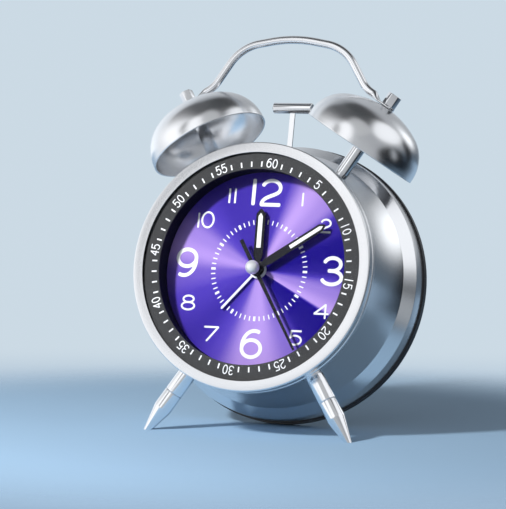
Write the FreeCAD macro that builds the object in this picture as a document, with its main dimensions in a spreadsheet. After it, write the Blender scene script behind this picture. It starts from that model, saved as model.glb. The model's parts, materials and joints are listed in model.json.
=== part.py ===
import FreeCAD, Part
import math
import os

import Sketcher

# Twin bell alarm clock, in millimetres.
# Every piece is first shaped in the clock's own frame: x to the right, y from the front of the
# bezel back into the clock, z up towards the 12, with the origin on the dial's axis. The finished
# pieces are then leaned back together until two foot tips and the rear cover's rim stand on z = 0.

SIZES = {
    # bezel, glass and printed ring
    "bezel_radius": 53.0,
    "bezel_lip_width": 4.4,
    "bezel_lip_thickness": 0.6,
    "bezel_flange_depth": 4.2,
    "bezel_groove_width": 0.9,
    "bezel_groove_depth": 0.8,
    "bezel_bead_width": 2.9,
    "bezel_wall": 2.4,
    "bezel_round": 0.5,
    "seat_clearance": 0.1,
    "glass_thickness": 1.0,
    "glass_rise": 1.2,
    "ring_thickness": 0.8,
    "ring_width": 6.95,
    # dial and the frame behind the ring
    "ring_overhang": 0.45,
    "well_wall": 1.2,
    "frame_flange_thickness": 1.0,
    "dial_thickness": 0.5,
    "frame_post_gap": 0.7,
    "frame_post_radius": 2.4,
    # case
    "sheet": 0.7,
    "shoulder_step": 1.0,
    "cove_radius": 130.0,
    "cove_step": 3.7,
    "flare_length": 5.5,
    "flare_step": 4.1,
    "band_length": 8.1,
    "band_step": 0.5,
    # rear cover
    "rim_step": 0.55,
    "rim_thickness": 3.6,
    "rim_width": 3.6,
    "rim_round": 0.5,
    "rim_flat": 0.35,
    "panel_recess": 4.2,
    "panel_thickness": 2.0,
    "skirt_gap": 0.5,
    # bells, posts and nuts
    "bell_angle": 31.3,
    "bell_setback": 19.2,
    "bell_lift": 13.1,
    "bell_rim_radius": 26.3,
    "bell_height": 20.9,
    "bell_straight": 1.8,
    "bell_shoulder": 16.7,
    "bell_sheet": 0.8,
    "post_radius": 2.9,
    "stud_radius": 1.5,
    "thread_clearance": 0.05,
    "hole_clearance": 0.15,
    "nut_across_flats": 5.5,
    "nut_length": 5.4,
    "post_nut_length": 2.4,
    # handle
    "handle_wire_radius": 1.75,
    "handle_rise": 37.7,
    "handle_crown_radius": 56.0,
    "handle_crown_peak": 1.0,
    "handle_corner_radius": 19.0,
    "handle_corner_inset": 22.1,
    "handle_corner_drop": 3.35,
    "handle_ankle_radius": 12.0,
    "handle_ankle_distance": 12.9,
    "tab_length": 8.5,
    "tab_wire_distance": 5.5,
    "tab_width": 6.6,
    "tab_thickness": 1.0,
    # legs
    "leg_angle": 33.0,
    "leg_setback": 7.2,
    "leg_radius": 3.95,
    "leg_reach": 30.3,
    "leg_seam": 19.4,
    "leg_cone_length": 11.2,
    "leg_tip_radius": 1.5,
    "leg_edge": 0.35,
    "leg_screw_radius": 1.25,
    "leg_screw_head_radius": 2.4,
    "leg_screw_head_length": 1.6,
    "leg_screw_reach": 8.0,
    # hammer and its striker
    "hammer_across": 2.7,
    "hammer_pin_rise": 4.0,
    "hammer_pin_radius": 1.0,
    "pin_clearance": 0.05,
    "hammer_hub_radius": 2.2,
    "hammer_arm_width": 2.2,
    "hammer_arm_thickness": 0.8,
    "hammer_head_rise": 3.36,
    "hammer_head_radius": 2.35,
    "strike_gap": 0.32,
    "hammer_head_edge": 0.4,
    "hammer_slot_width": 10.2,
    "hammer_slot_depth": 3.2,
    "hammer_slot_shift": -1.6,
    "armature_rise": 10.0,
    "armature_length": 7.0,
    "armature_width": 6.4,
    "armature_thickness": 1.6,
    "striker_gap": 2.1,
    "striker_core_radius": 2.0,
    "striker_core_length": 17.0,
    "striker_coil_radius": 3.4,
    "striker_coil_length": 12.0,
    "striker_plate_thickness": 1.2,
    "spring_wire_radius": 0.2,
    "spring_turns": 4,
    # movement case
    "wheel_room": 1.868,
    "movement_plate": 1.2,
    "rotor_room": 2.0,
    "movement_wall": 1.4,
    "movement_screw_inset": 3.0,
    "movement_screw_radius": 0.9,
    "movement_screw_head_radius": 1.7,
    "movement_screw_head_length": 1.2,
    "movement_column_radius": 2.6,
    # wheel train
    "tooth_module": 0.5,
    "arbor_room": 0.11,
    "wheel_thickness": 0.9,
    "arbor_radius": 0.5,
    "bearing_clearance": 0.05,
    "pipe_clearance": 0.06,
    "pipe_wall": 0.72,
    "first_wheel_gap": 0.8,
    "wheel_pitch": 1.7,
    "shaft_radius": 1.2,
    "pinion_overlap": 0.2,
    "end_play": 0.2,
    # stepping motor and electronics
    "rotor_magnet_radius": 2.2,
    "rotor_magnet_length": 1.4,
    "rotor_gap": 0.4,
    "stator_thickness": 0.8,
    "motor_coil_radius": 2.3,
    "board_thickness": 0.8,
    "board_post_length": 2.2,
    "board_post_radius": 1.0,
    "board_height": 8.0,
    "board_inset": 4.6,
    "board_edge": 2.0,
    "crystal_radius": 1.0,
    "crystal_length": 6.0,
    # hands
    "hand_thickness": 0.4,
    "hand_pitch": 1.2,
    "hand_lift": 1.4,
    "alarm_hand_room": 19.3,
    "alarm_hand_angle": 221.0,
    "alarm_hand_width": 1.0,
    "hand_neck_half_width": 1.1,
    "hand_neck_end": 3.6,
    "hand_shoulder_length": 2.6,
    "hand_point_length": 2.2,
    "hand_tip_half_width": 0.25,
    "hour_hand_room": 16.1,
    "hour_hand_width": 4.1,
    "hour_hand_angle": 359.0,
    "minute_hand_room": 6.8,
    "minute_hand_width": 3.4,
    "minute_hand_angle": 56.0,
    "second_hand_room": 2.6,
    "second_hand_tail": 14.0,
    "second_hand_width": 1.7,
    "second_hand_tip_width": 1.0,
    "second_hand_angle": 148.5,
    "cap_radius": 3.0,
    "cap_sink": 0.2,
    "cap_gap": 0.6,
    # knobs and switch
    "knob_radius": 6.2,
    "knob_height": 3.4,
    "knob_gap": 0.4,
    "knob_flutes": 20,
    "flute_radius": 0.6,
    "switch_height": 23.0,
    "switch_travel": 3.0,
    "switch_cap_length": 4.0,
    "switch_cap_width": 2.4,
    "switch_cap_rise": 1.6,
    "switch_play": 0.2,
    "switch_plate": 1.2,
    "switch_shoulder": 1.5,
    # battery bay
    "battery_radius": 7.2,
    "battery_length": 49.5,
    "battery_nub_radius": 2.75,
    "battery_nub_length": 1.0,
    "battery_height": -30.0,
    "battery_play": 0.3,
    "bay_gap": 1.1,
    "bay_wall": 1.2,
    "contact_thickness": 0.4,
    "battery_spring_wire": 0.35,
    "battery_spring_turns": 3,
    "spring_end_gap": 0.05,
    "bay_end_room": 3.2,
    "door_thickness": 1.4,
    "door_ledge": 2.0,
    "door_gap": 0.2,
    # cover screws
    "cover_screw_radius": 1.2,
    "cover_screw_head_radius": 2.6,
    "cover_screw_head_length": 1.6,
    "cover_screw_reach": 10.0,
    "boss_radius": 3.0,
}


class Size:
    """A length or a number: its value now and the formula that gives it from the sheet."""

    def __init__(self, value, formula):
        self.value = float(value)
        self.formula = formula

    def __add__(self, other):
        other = as_size(other)
        return Size(self.value + other.value, f"({self.formula} + {other.formula})")

    def __radd__(self, other):
        return as_size(other) + self

    def __sub__(self, other):
        other = as_size(other)
        return Size(self.value - other.value, f"({self.formula} - {other.formula})")

    def __rsub__(self, other):
        return as_size(other) - self

    def __mul__(self, other):
        other = as_size(other)
        return Size(self.value * other.value, f"({self.formula} * {other.formula})")

    def __rmul__(self, other):
        return as_size(other) * self

    def __truediv__(self, other):
        other = as_size(other)
        return Size(self.value / other.value, f"({self.formula} / {other.formula})")

    def __neg__(self):
        return Size(-self.value, f"(0 - {self.formula})")

    def __float__(self):
        return self.value


def as_size(number):
    if isinstance(number, Size):
        return number
    return Size(number, repr(float(number)))


def root(size):
    return Size(math.sqrt(size.value), f"sqrt({size.formula})")


def cosine(angle):
    angle = as_size(angle)
    return Size(math.cos(math.radians(angle.value)), f"cos({angle.formula} * 1 deg)")


def sine(angle):
    angle = as_size(angle)
    return Size(math.sin(math.radians(angle.value)), f"sin({angle.formula} * 1 deg)")


class Sheet:
    """The spreadsheet of driving sizes. sheet.word gives the Size of the cell named word."""

    def __init__(self, document, sizes):
        self.cells = document.addObject("Spreadsheet::Sheet", "sizes")
        self.words = {}
        for row, (word, number) in enumerate(sizes.items(), 1):
            self.cells.set(f"A{row}", word.replace("_", " "))
            self.cells.set(f"B{row}", str(number))
            self.cells.setAlias(f"B{row}", word)
            self.words[word] = Size(number, f"sizes.{word}")

    def __getattr__(self, word):
        return self.words[word]

    def follow(self, word, size):
        """Names a size that follows from others and so has no cell of its own."""
        self.words[word] = as_size(size)


document = FreeCAD.newDocument("twin_bell_alarm_clock")
sheet = Sheet(document, SIZES)
document.recompute()

pieces = []
cuts_to_check = []


def bind(thing, name, size):
    """Ties one property of a document object to a formula of the sheet."""
    thing.setExpression(name, as_size(size).formula)


def vector(x, y, z):
    return FreeCAD.Vector(float(x), float(y), float(z))


def placed(x=0, y=0, z=0, axis=(0, 0, 1), angle=0):
    return FreeCAD.Placement(
        vector(x, y, z), FreeCAD.Rotation(FreeCAD.Vector(*axis), float(angle))
    )


class Round:
    """A circle in a sketch."""

    def __init__(self, x, y, radius):
        self.x = as_size(x)
        self.y = as_size(y)
        self.radius = as_size(radius)


def box(x0, x1, y0, y1):
    """The four corners of a rectangle in a sketch."""
    return [(x0, y0), (x1, y0), (x1, y1), (x0, y1)]


def arc_centre(start, end, radius):
    """Centre of the short arc from start to end; a positive radius turns left along the way."""
    half_x = (end[0] - start[0]) / 2
    half_y = (end[1] - start[1]) / 2
    half = math.hypot(half_x, half_y)
    rise = math.sqrt(radius * radius - half * half) * (1 if radius > 0 else -1)
    return (
        start[0] + half_x - half_y / half * rise,
        start[1] + half_y + half_x / half * rise,
    )


def draw_round(drawing, circle):
    centre = vector(circle.x, circle.y, 0)
    number = drawing.addGeometry(
        Part.Circle(centre, FreeCAD.Vector(0, 0, 1), float(circle.radius)), False
    )
    hold(drawing, Sketcher.Constraint("Radius", number, float(circle.radius)), circle.radius)
    hold(drawing, distance("DistanceX", number, 3, circle.x), circle.x)
    hold(drawing, distance("DistanceY", number, 3, circle.y), circle.y)


def distance(kind, number, end, size):
    return Sketcher.Constraint(kind, -1, 1, number, end, float(size))


def hold(drawing, constraint, size):
    """Adds a dimension to a sketch and ties it to the sheet."""
    index = drawing.addConstraint(constraint)
    if "sizes." in size.formula:
        drawing.setExpression(f"Constraints[{index}]", size.formula)


def draw_outline(drawing, corners):
    """Draws a closed outline. A corner (x, y, r) starts an arc of radius r, (x, y) a line."""
    points = [(float(corner[0]), float(corner[1])) for corner in corners]
    ends = []
    for index, corner in enumerate(corners):
        here = points[index]
        there = points[(index + 1) % len(points)]
        if len(corner) == 2:
            number = drawing.addGeometry(
                Part.LineSegment(vector(*here, 0), vector(*there, 0)), False
            )
            ends.append((number, 1, 2))
            continue
        radius = float(corner[2])
        centre = arc_centre(here, there, radius)
        circle = Part.Circle(vector(*centre, 0), FreeCAD.Vector(0, 0, 1), abs(radius))
        angles = [
            math.atan2(point[1] - centre[1], point[0] - centre[0])
            for point in ((here, there) if radius > 0 else (there, here))
        ]
        if angles[1] < angles[0]:
            angles[1] += 2 * math.pi
        number = drawing.addGeometry(Part.ArcOfCircle(circle, *angles), False)
        ends.append((number, 1, 2) if radius > 0 else (number, 2, 1))
        size = as_size(corner[2])
        if radius < 0:
            size = -size
        hold(drawing, Sketcher.Constraint("Radius", number, float(size)), size)
    for index, (number, start, end) in enumerate(ends):
        following = ends[(index + 1) % len(ends)]
        drawing.addConstraint(
            Sketcher.Constraint("Coincident", number, end, following[0], following[1])
        )
    for (number, start, end), corner in zip(ends, corners):
        hold(drawing, distance("DistanceX", number, start, corner[0]), as_size(corner[0]))
        hold(drawing, distance("DistanceY", number, start, corner[1]), as_size(corner[1]))


# In a sketch on the XZ plane, x is the clock's x and y is its z; the plane faces the front, so a
# start of s puts it s behind the bezel's front. On the XY plane the normal is z, on YZ it is x.
FACES_BACKWARDS = {"XY": False, "XZ": True, "YZ": False}


class Body:
    """One piece shaped by sketched features."""

    def __init__(self, label):
        self.body = document.addObject("PartDesign::Body", label)
        self.body.Label = label

    def sketch(self, plane, outlines, start=0):
        drawing = self.body.newObject("Sketcher::SketchObject", self.body.Name + "_sketch")
        support = [
            feature
            for feature in self.body.Origin.OriginFeatures
            if feature.Role == plane + "_Plane"
        ]
        drawing.AttachmentSupport = (support[0], [""])
        drawing.MapMode = "FlatFace"
        offset = -as_size(start) if FACES_BACKWARDS[plane] else as_size(start)
        bind(drawing, "AttachmentOffset.Base.z", offset)
        for outline in outlines:
            if isinstance(outline, Round):
                draw_round(drawing, outline)
            else:
                draw_outline(drawing, outline)
        return drawing

    def feature(self, kind, drawing):
        made = self.body.newObject("PartDesign::" + kind, self.body.Name + "_" + kind.lower())
        made.Profile = drawing
        return made

    def pad(self, plane, start, length, *outlines):
        """Adds material from start on, towards the back, the top or the right."""
        made = self.feature("Pad", self.sketch(plane, outlines, start))
        made.Reversed = FACES_BACKWARDS[plane]
        bind(made, "Length", length)
        return self

    def pocket(self, plane, start, length, *outlines):
        """Takes material away from start on, towards the back, the top or the right."""
        before = self.body.Tip
        made = self.feature("Pocket", self.sketch(plane, outlines, start))
        made.Reversed = not FACES_BACKWARDS[plane]
        bind(made, "Length", length)
        cuts_to_check.append((before, made))
        return self

    def turn(self, plane, *outlines):
        """Turns outlines of (radius, place along the axis) about the sketch's vertical axis."""
        drawing = self.sketch(plane, outlines)
        made = self.feature("Revolution", drawing)
        made.ReferenceAxis = (drawing, ["V_Axis"])
        made.Angle = 360
        return self

    def repeat(self, count):
        """Repeats the last cut round the y axis."""
        last = self.body.Tip
        pattern = self.body.newObject("PartDesign::PolarPattern", self.body.Name + "_pattern")
        pattern.Originals = [last]
        axis = [o for o in self.body.Origin.OriginFeatures if o.Role == "Y_Axis"]
        pattern.Axis = (axis[0], [""])
        pattern.Angle = 360
        bind(pattern, "Occurrences", count)
        self.body.Tip = pattern
        return self

    def done(self, placement=None):
        if placement is not None:
            self.body.Placement = placement
        pieces.append(self.body)
        return self.body

    def tool(self, placement=None):
        """The shaped body as the input of a later cut or join, not a piece of the clock."""
        if placement is not None:
            self.body.Placement = placement
        return self.body


def joined(kind, label, base, tool):
    """A piece made by cutting tool from base, or by joining the two."""
    made = document.addObject("Part::" + kind, label)
    made.Label = label
    made.Base = base
    made.Tool = tool
    pieces.append(made)
    return made


def shaped(label, shape, placement=None):
    """A piece whose solid comes from Part's own functions."""
    made = document.addObject("Part::Feature", label)
    made.Label = label
    made.Shape = shape
    if placement is not None:
        made.Placement = placement
    pieces.append(made)
    return made


def rod(radius, start, length, x=0, z=0):
    """A cylinder along y."""
    return Part.makeCylinder(
        float(radius), float(length), vector(x, start, z), FreeCAD.Vector(0, 1, 0)
    )


def block(x0, x1, y0, y1, z0, z1):
    low = vector(x0, y0, z0)
    return Part.makeBox(float(x1) - low.x, float(y1) - low.y, float(z1) - low.z, low)


def polar(distance, angle):
    """Place at an angle clockwise from the top, as seen from the front: (x, z)."""
    return distance * sine(angle), distance * cosine(angle)


def radial(angle, depth):
    """Turns a piece's own z axis to point out from the dial's axis, clockwise from the top."""
    return placed(0, depth, 0, (0, 1, 0), angle)


# Teeth of the wheel train, by wheel, and the form that all of them share

TEETH = {
    "second_wheel": 60,
    "second_pinion": 8,
    "third_wheel": 64,
    "third_pinion": 8,
    "centre_wheel": 60,
    "cannon_pinion": 15,
    "minute_wheel": 45,
    "minute_pinion": 12,
    "hour_wheel": 48,
    "alarm_wheel": 36,
    "alarm_pinion": 24,
    "fifth_wheel": 48,
    "fifth_pinion": 12,
    "rotor_pinion": 8,
}
TOOTH_TIP = 0.7
TOOTH_FOOT = 1.05
TOOTH_SHARE = 0.40
PRESSURE_ANGLE = 20


def gear_distance(first, second, module):
    return (TEETH[first] + TEETH[second]) * module / 2


def gear_reach(wheel, module):
    """Radius over the tips of a wheel's teeth."""
    return (TEETH[wheel] / 2 + TOOTH_TIP) * module


# Sizes that follow from others, from the front of the clock to its back

sheet.follow(
    "bezel_depth",
    sheet.bezel_flange_depth + sheet.bezel_groove_width + sheet.bezel_bead_width,
)
sheet.follow("bezel_lip_radius", sheet.bezel_radius - sheet.bezel_lip_width)
sheet.follow("ring_inner_radius", sheet.bezel_lip_radius - sheet.ring_width)
sheet.follow("well_radius", sheet.ring_inner_radius + sheet.ring_overhang)
sheet.follow(
    "frame_post_distance",
    sheet.well_radius + sheet.well_wall + sheet.frame_post_gap + sheet.frame_post_radius,
)
bezel_bore = sheet.bezel_radius - sheet.bezel_wall
ring_face = sheet.bezel_lip_thickness + sheet.glass_thickness
frame_face = ring_face + sheet.ring_thickness
neck_face = frame_face + sheet.frame_flange_thickness
neck_radius = bezel_bore - sheet.seat_clearance

# The cap's ball just clears the glass, and the hands follow one behind the other.
sheet.follow(
    "second_hand_depth",
    ring_face - sheet.glass_rise + sheet.cap_gap + 2 * sheet.cap_radius - sheet.cap_sink,
)
sheet.follow("minute_hand_depth", sheet.second_hand_depth + sheet.hand_pitch)
sheet.follow("hour_hand_depth", sheet.minute_hand_depth + sheet.hand_pitch)
sheet.follow("alarm_hand_depth", sheet.hour_hand_depth + sheet.hand_pitch)
sheet.follow("dial_depth", sheet.alarm_hand_depth + sheet.hand_lift)
for hand_name in ("second", "minute", "hour", "alarm"):
    sheet.follow(
        hand_name + "_hand_length",
        sheet.well_radius - getattr(sheet, hand_name + "_hand_room"),
    )
minute_pipe_radius = sheet.arbor_radius + sheet.pipe_clearance + sheet.pipe_wall
hour_pipe_radius = minute_pipe_radius + sheet.pipe_clearance + sheet.pipe_wall
alarm_pipe_radius = hour_pipe_radius + sheet.pipe_clearance + sheet.pipe_wall

# Both knobs' shafts carry a wheel that meshes with one on the dial's axis.
sheet.follow("knob_distance", gear_distance("cannon_pinion", "minute_wheel", sheet.tooth_module))

# The fine wheels are as large as lets the third arbor pass the tips of the hour wheel.
sheet.follow(
    "fine_module",
    2
    * (gear_reach("hour_wheel", sheet.tooth_module) + sheet.arbor_radius + sheet.arbor_room)
    / (TEETH["second_pinion"] + TEETH["third_wheel"]),
)
sheet.follow(
    "minute_module",
    sheet.fine_module
    * (TEETH["second_pinion"] + TEETH["third_wheel"])
    / (TEETH["third_pinion"] + TEETH["centre_wheel"]),
)
third_direction = 0
fifth_direction = 180
rotor_direction = 100
third_distance = gear_distance("second_pinion", "third_wheel", sheet.fine_module)
fifth_distance = gear_distance("second_wheel", "fifth_pinion", sheet.fine_module)
rotor_distance = gear_distance("fifth_wheel", "rotor_pinion", sheet.fine_module)
third_place = polar(third_distance, third_direction)
fifth_place = polar(fifth_distance, fifth_direction)
rotor_place = tuple(
    near + step for near, step in zip(fifth_place, polar(rotor_distance, rotor_direction))
)

# The movement's case holds the train from side to side and from front to back.
sheet.follow(
    "movement_half",
    third_distance
    + gear_reach("third_wheel", sheet.fine_module)
    + sheet.wheel_room
    + sheet.movement_wall,
)
sheet.follow("movement_screw_place", sheet.movement_half - sheet.movement_screw_inset)
plate_face = sheet.dial_depth + sheet.dial_thickness
housing_face = plate_face + sheet.movement_plate
wheel_depth = housing_face + sheet.first_wheel_gap
for level in ("alarm_wheel", "hour_wheel", "cannon", "centre_wheel", "third_wheel"):
    sheet.follow(level + "_depth", wheel_depth)
    wheel_depth = wheel_depth + sheet.wheel_pitch
for level in ("second_wheel", "fifth_wheel", "rotor_magnet"):
    sheet.follow(level + "_depth", wheel_depth)
    wheel_depth = wheel_depth + sheet.wheel_pitch
sheet.follow(
    "movement_depth",
    sheet.rotor_magnet_depth
    + sheet.rotor_magnet_length
    + sheet.rotor_room
    + sheet.movement_wall,
)
sheet.follow(
    "board_depth", sheet.movement_depth - sheet.movement_wall - sheet.board_post_length
)

# Behind the movement come the battery bay, its door and the recess of the rear rim.
bay_half_height = sheet.battery_radius + sheet.battery_play
bay_floor = (
    sheet.movement_depth + sheet.movement_screw_head_length + sheet.bay_gap + sheet.bay_wall
)
door_face = bay_floor + 2 * bay_half_height
panel_rear = door_face + sheet.door_thickness
panel_front = panel_rear - sheet.panel_thickness
rim_rear = panel_rear + sheet.panel_recess
sheet.follow("case_depth", rim_rear - sheet.rim_thickness)
sheet.follow("flare_depth", sheet.case_depth - sheet.band_length)
sheet.follow("crease_depth", sheet.flare_depth - sheet.flare_length)
sheet.follow("shoulder_radius", sheet.bezel_radius - sheet.shoulder_step)
sheet.follow("crease_radius", sheet.shoulder_radius + sheet.cove_step)
sheet.follow("flare_radius", sheet.crease_radius + sheet.flare_step)
sheet.follow("case_rear_radius", sheet.flare_radius + sheet.band_step)
sheet.follow("rim_radius", sheet.case_rear_radius + sheet.rim_step)
rim_inner = sheet.rim_radius - sheet.rim_width
bay_length = (
    sheet.battery_length
    + sheet.battery_nub_length
    + sheet.bay_end_room
    + sheet.contact_thickness
)
bay_half_length = bay_length / 2
bay_shift = (
    bay_half_length
    - sheet.contact_thickness
    - sheet.battery_nub_length
    - sheet.battery_length / 2
)
switch_board_rear = panel_front - 2 * sheet.switch_play - sheet.switch_plate
switch_boss_across = sheet.switch_cap_length + sheet.switch_travel + sheet.switch_shoulder

# Bells, handle, legs and hammer stand off the case.
sheet.follow("bell_plane_depth", sheet.bezel_depth + sheet.bell_setback)
sheet.follow("bell_rim_distance", sheet.bezel_radius + sheet.bell_lift)
sheet.follow("handle_top", sheet.bell_rim_distance + sheet.handle_rise)
sheet.follow("leg_plane_depth", sheet.bezel_depth + sheet.leg_setback)
sheet.follow("leg_tip_distance", sheet.bezel_radius + sheet.leg_reach)
sheet.follow("hammer_pin_height", sheet.movement_half + sheet.hammer_pin_rise)
sheet.follow("armature_height", sheet.hammer_pin_height + sheet.armature_rise)
rim_middle_x, rim_middle_z = polar(sheet.bell_rim_distance, sheet.bell_angle)
bell_edge_x = rim_middle_x - sheet.bell_rim_radius * cosine(sheet.bell_angle)
bell_edge_z = rim_middle_z + sheet.bell_rim_radius * sine(sheet.bell_angle)
sheet.follow("hammer_head_height", bell_edge_z + sheet.hammer_head_rise)
sheet.follow(
    "hammer_head_length", 2 * (bell_edge_x - sheet.strike_gap - sheet.hammer_across)
)

# The cove is an arc from the shoulder to the crease, hollow towards the outside.
cove_run = sheet.crease_depth - sheet.bezel_depth
cove_step = sheet.crease_radius - sheet.shoulder_radius
cove_chord = root(cove_run * cove_run + cove_step * cove_step)
cove_rise = root(sheet.cove_radius * sheet.cove_radius - cove_chord * cove_chord / 4)
cove_centre_radius = (
    (sheet.shoulder_radius + sheet.crease_radius) / 2 + cove_run / cove_chord * cove_rise
)
cove_centre_depth = (
    (sheet.bezel_depth + sheet.crease_depth) / 2 - cove_step / cove_chord * cove_rise
)


def case_radius(depth):
    """Outer radius of the case's cove at a depth behind the bezel's front."""
    along = depth - cove_centre_depth
    return cove_centre_radius - root(sheet.cove_radius * sheet.cove_radius - along * along)


# Radius of the case's surface under a leg and under a bell post. The post's nut stays just
# inside the shallowest part of the sheet it bears on.
leg_seat = case_radius(sheet.leg_plane_depth)
post_start = case_radius(sheet.bell_plane_depth - sheet.post_radius) - 1
nut_face = case_radius(sheet.bell_plane_depth - sheet.nut_across_flats / 2) - sheet.sheet - 0.1


# Front: bezel, glass, printed ring, frame, dial


def make_front():
    groove = sheet.bezel_flange_depth
    bead = groove + sheet.bezel_groove_width
    groove_radius = sheet.bezel_radius - sheet.bezel_groove_depth
    edge = sheet.bezel_round
    Body("bezel").turn(
        "XY",
        [
            (sheet.bezel_lip_radius, 0),
            (sheet.bezel_radius - edge, 0, edge),
            (sheet.bezel_radius, edge),
            (sheet.bezel_radius, groove),
            (groove_radius, groove),
            (groove_radius, bead),
            (sheet.bezel_radius - edge, bead, edge),
            (sheet.bezel_radius, bead + edge),
            (sheet.bezel_radius, sheet.bezel_depth - edge, edge),
            (sheet.bezel_radius - edge, sheet.bezel_depth),
            (bezel_bore, sheet.bezel_depth),
            (bezel_bore, sheet.bezel_lip_thickness),
            (sheet.bezel_lip_radius, sheet.bezel_lip_thickness),
        ],
    ).done()

    # The glass bows forward from a flat edge that is held behind the bezel's lip.
    glass_radius = bezel_bore - sheet.seat_clearance
    lens = sheet.bezel_lip_radius - sheet.seat_clearance
    rise = sheet.glass_rise
    bow = (lens * lens + rise * rise) / (2 * rise)
    Body("front_glass").turn(
        "XY",
        [
            (0, sheet.bezel_lip_thickness - rise, bow),
            (lens, sheet.bezel_lip_thickness),
            (glass_radius, sheet.bezel_lip_thickness),
            (glass_radius, ring_face),
            (lens, ring_face, -bow),
            (0, ring_face - rise),
        ],
    ).done()

    Body("chapter_ring").turn(
        "XY",
        [
            (sheet.ring_inner_radius, ring_face),
            (glass_radius, ring_face),
            (glass_radius, frame_face),
            (sheet.ring_inner_radius, frame_face),
        ],
    ).done()

    frame = Body("dial_well").turn(
        "XY",
        [
            (sheet.well_radius, frame_face),
            (glass_radius, frame_face),
            (glass_radius, neck_face),
            (sheet.well_radius + sheet.well_wall, neck_face),
            (sheet.well_radius + sheet.well_wall, sheet.dial_depth),
            (sheet.well_radius, sheet.dial_depth),
        ],
    )
    for x, z in cover_screw_places():
        frame.pad(
            "XZ", neck_face, panel_front - neck_face, Round(x, z, sheet.frame_post_radius)
        )
    for x, z in cover_screw_places():
        bore = sheet.cover_screw_radius + sheet.thread_clearance
        depth = sheet.cover_screw_reach + 1
        frame.pocket("XZ", panel_front - depth, depth, Round(x, z, bore))
    frame.done()

    Body("dial").pad(
        "XZ",
        sheet.dial_depth,
        sheet.dial_thickness,
        Round(0, 0, sheet.well_radius + sheet.well_wall),
        Round(0, 0, alarm_pipe_radius + sheet.pipe_clearance * 5),
    ).done()


def cover_screw_places():
    """Three screws hold the rear cover to the frame's posts."""
    return [polar(sheet.frame_post_distance, as_size(angle)) for angle in (70, 180, 290)]


# Case shell and rear cover


def case_outline():
    return [
        (neck_radius, neck_face),
        (neck_radius, sheet.bezel_depth),
        (sheet.shoulder_radius, sheet.bezel_depth, -sheet.cove_radius),
        (sheet.crease_radius, sheet.crease_depth),
        (sheet.flare_radius, sheet.flare_depth),
        (sheet.case_rear_radius, sheet.case_depth),
    ]


def make_case():
    sheet_in = sheet.sheet
    Body("case_shell_blank").turn(
        "XY",
        case_outline()
        + [
            (sheet.case_rear_radius - sheet_in, sheet.case_depth),
            (sheet.flare_radius - sheet_in, sheet.flare_depth),
            (sheet.crease_radius - sheet_in, sheet.crease_depth, sheet.cove_radius + sheet_in),
            (sheet.shoulder_radius - sheet_in, sheet.bezel_depth + sheet_in),
            (neck_radius - sheet_in, sheet.bezel_depth + sheet_in),
            (neck_radius - sheet_in, neck_face),
        ],
    ).tool()
    blank = document.getObject("case_shell_blank")
    document.recompute()

    holes = []
    for side in (-1, 1):
        post = hole_cylinder("post_hole", sheet.stud_radius + sheet.hole_clearance)
        post.Placement = radial(side * sheet.bell_angle, sheet.bell_plane_depth)
        leg = hole_cylinder("leg_hole", sheet.leg_screw_radius + sheet.hole_clearance)
        leg.Placement = radial(180 - side * sheet.leg_angle, sheet.leg_plane_depth)
        holes += [post, leg]
    slot = document.addObject("Part::Box", "hammer_slot")
    bind(slot, "Length", sheet.hammer_slot_width)
    bind(slot, "Width", sheet.hammer_slot_depth)
    bind(slot, "Height", sheet.bezel_radius)
    middle = sheet.hammer_across + sheet.hammer_slot_shift
    slot.Placement = placed(
        middle - sheet.hammer_slot_width / 2,
        sheet.bell_plane_depth - sheet.hammer_slot_depth / 2,
        sheet.hammer_pin_height,
    )
    openings = document.addObject("Part::MultiFuse", "case_openings")
    openings.Shapes = holes + [slot]
    joined("Cut", "case_shell", blank, openings)


def hole_cylinder(name, radius):
    drill = document.addObject("Part::Cylinder", name)
    bind(drill, "Radius", radius)
    bind(drill, "Height", sheet.bezel_radius * 1.5)
    return drill


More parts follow.
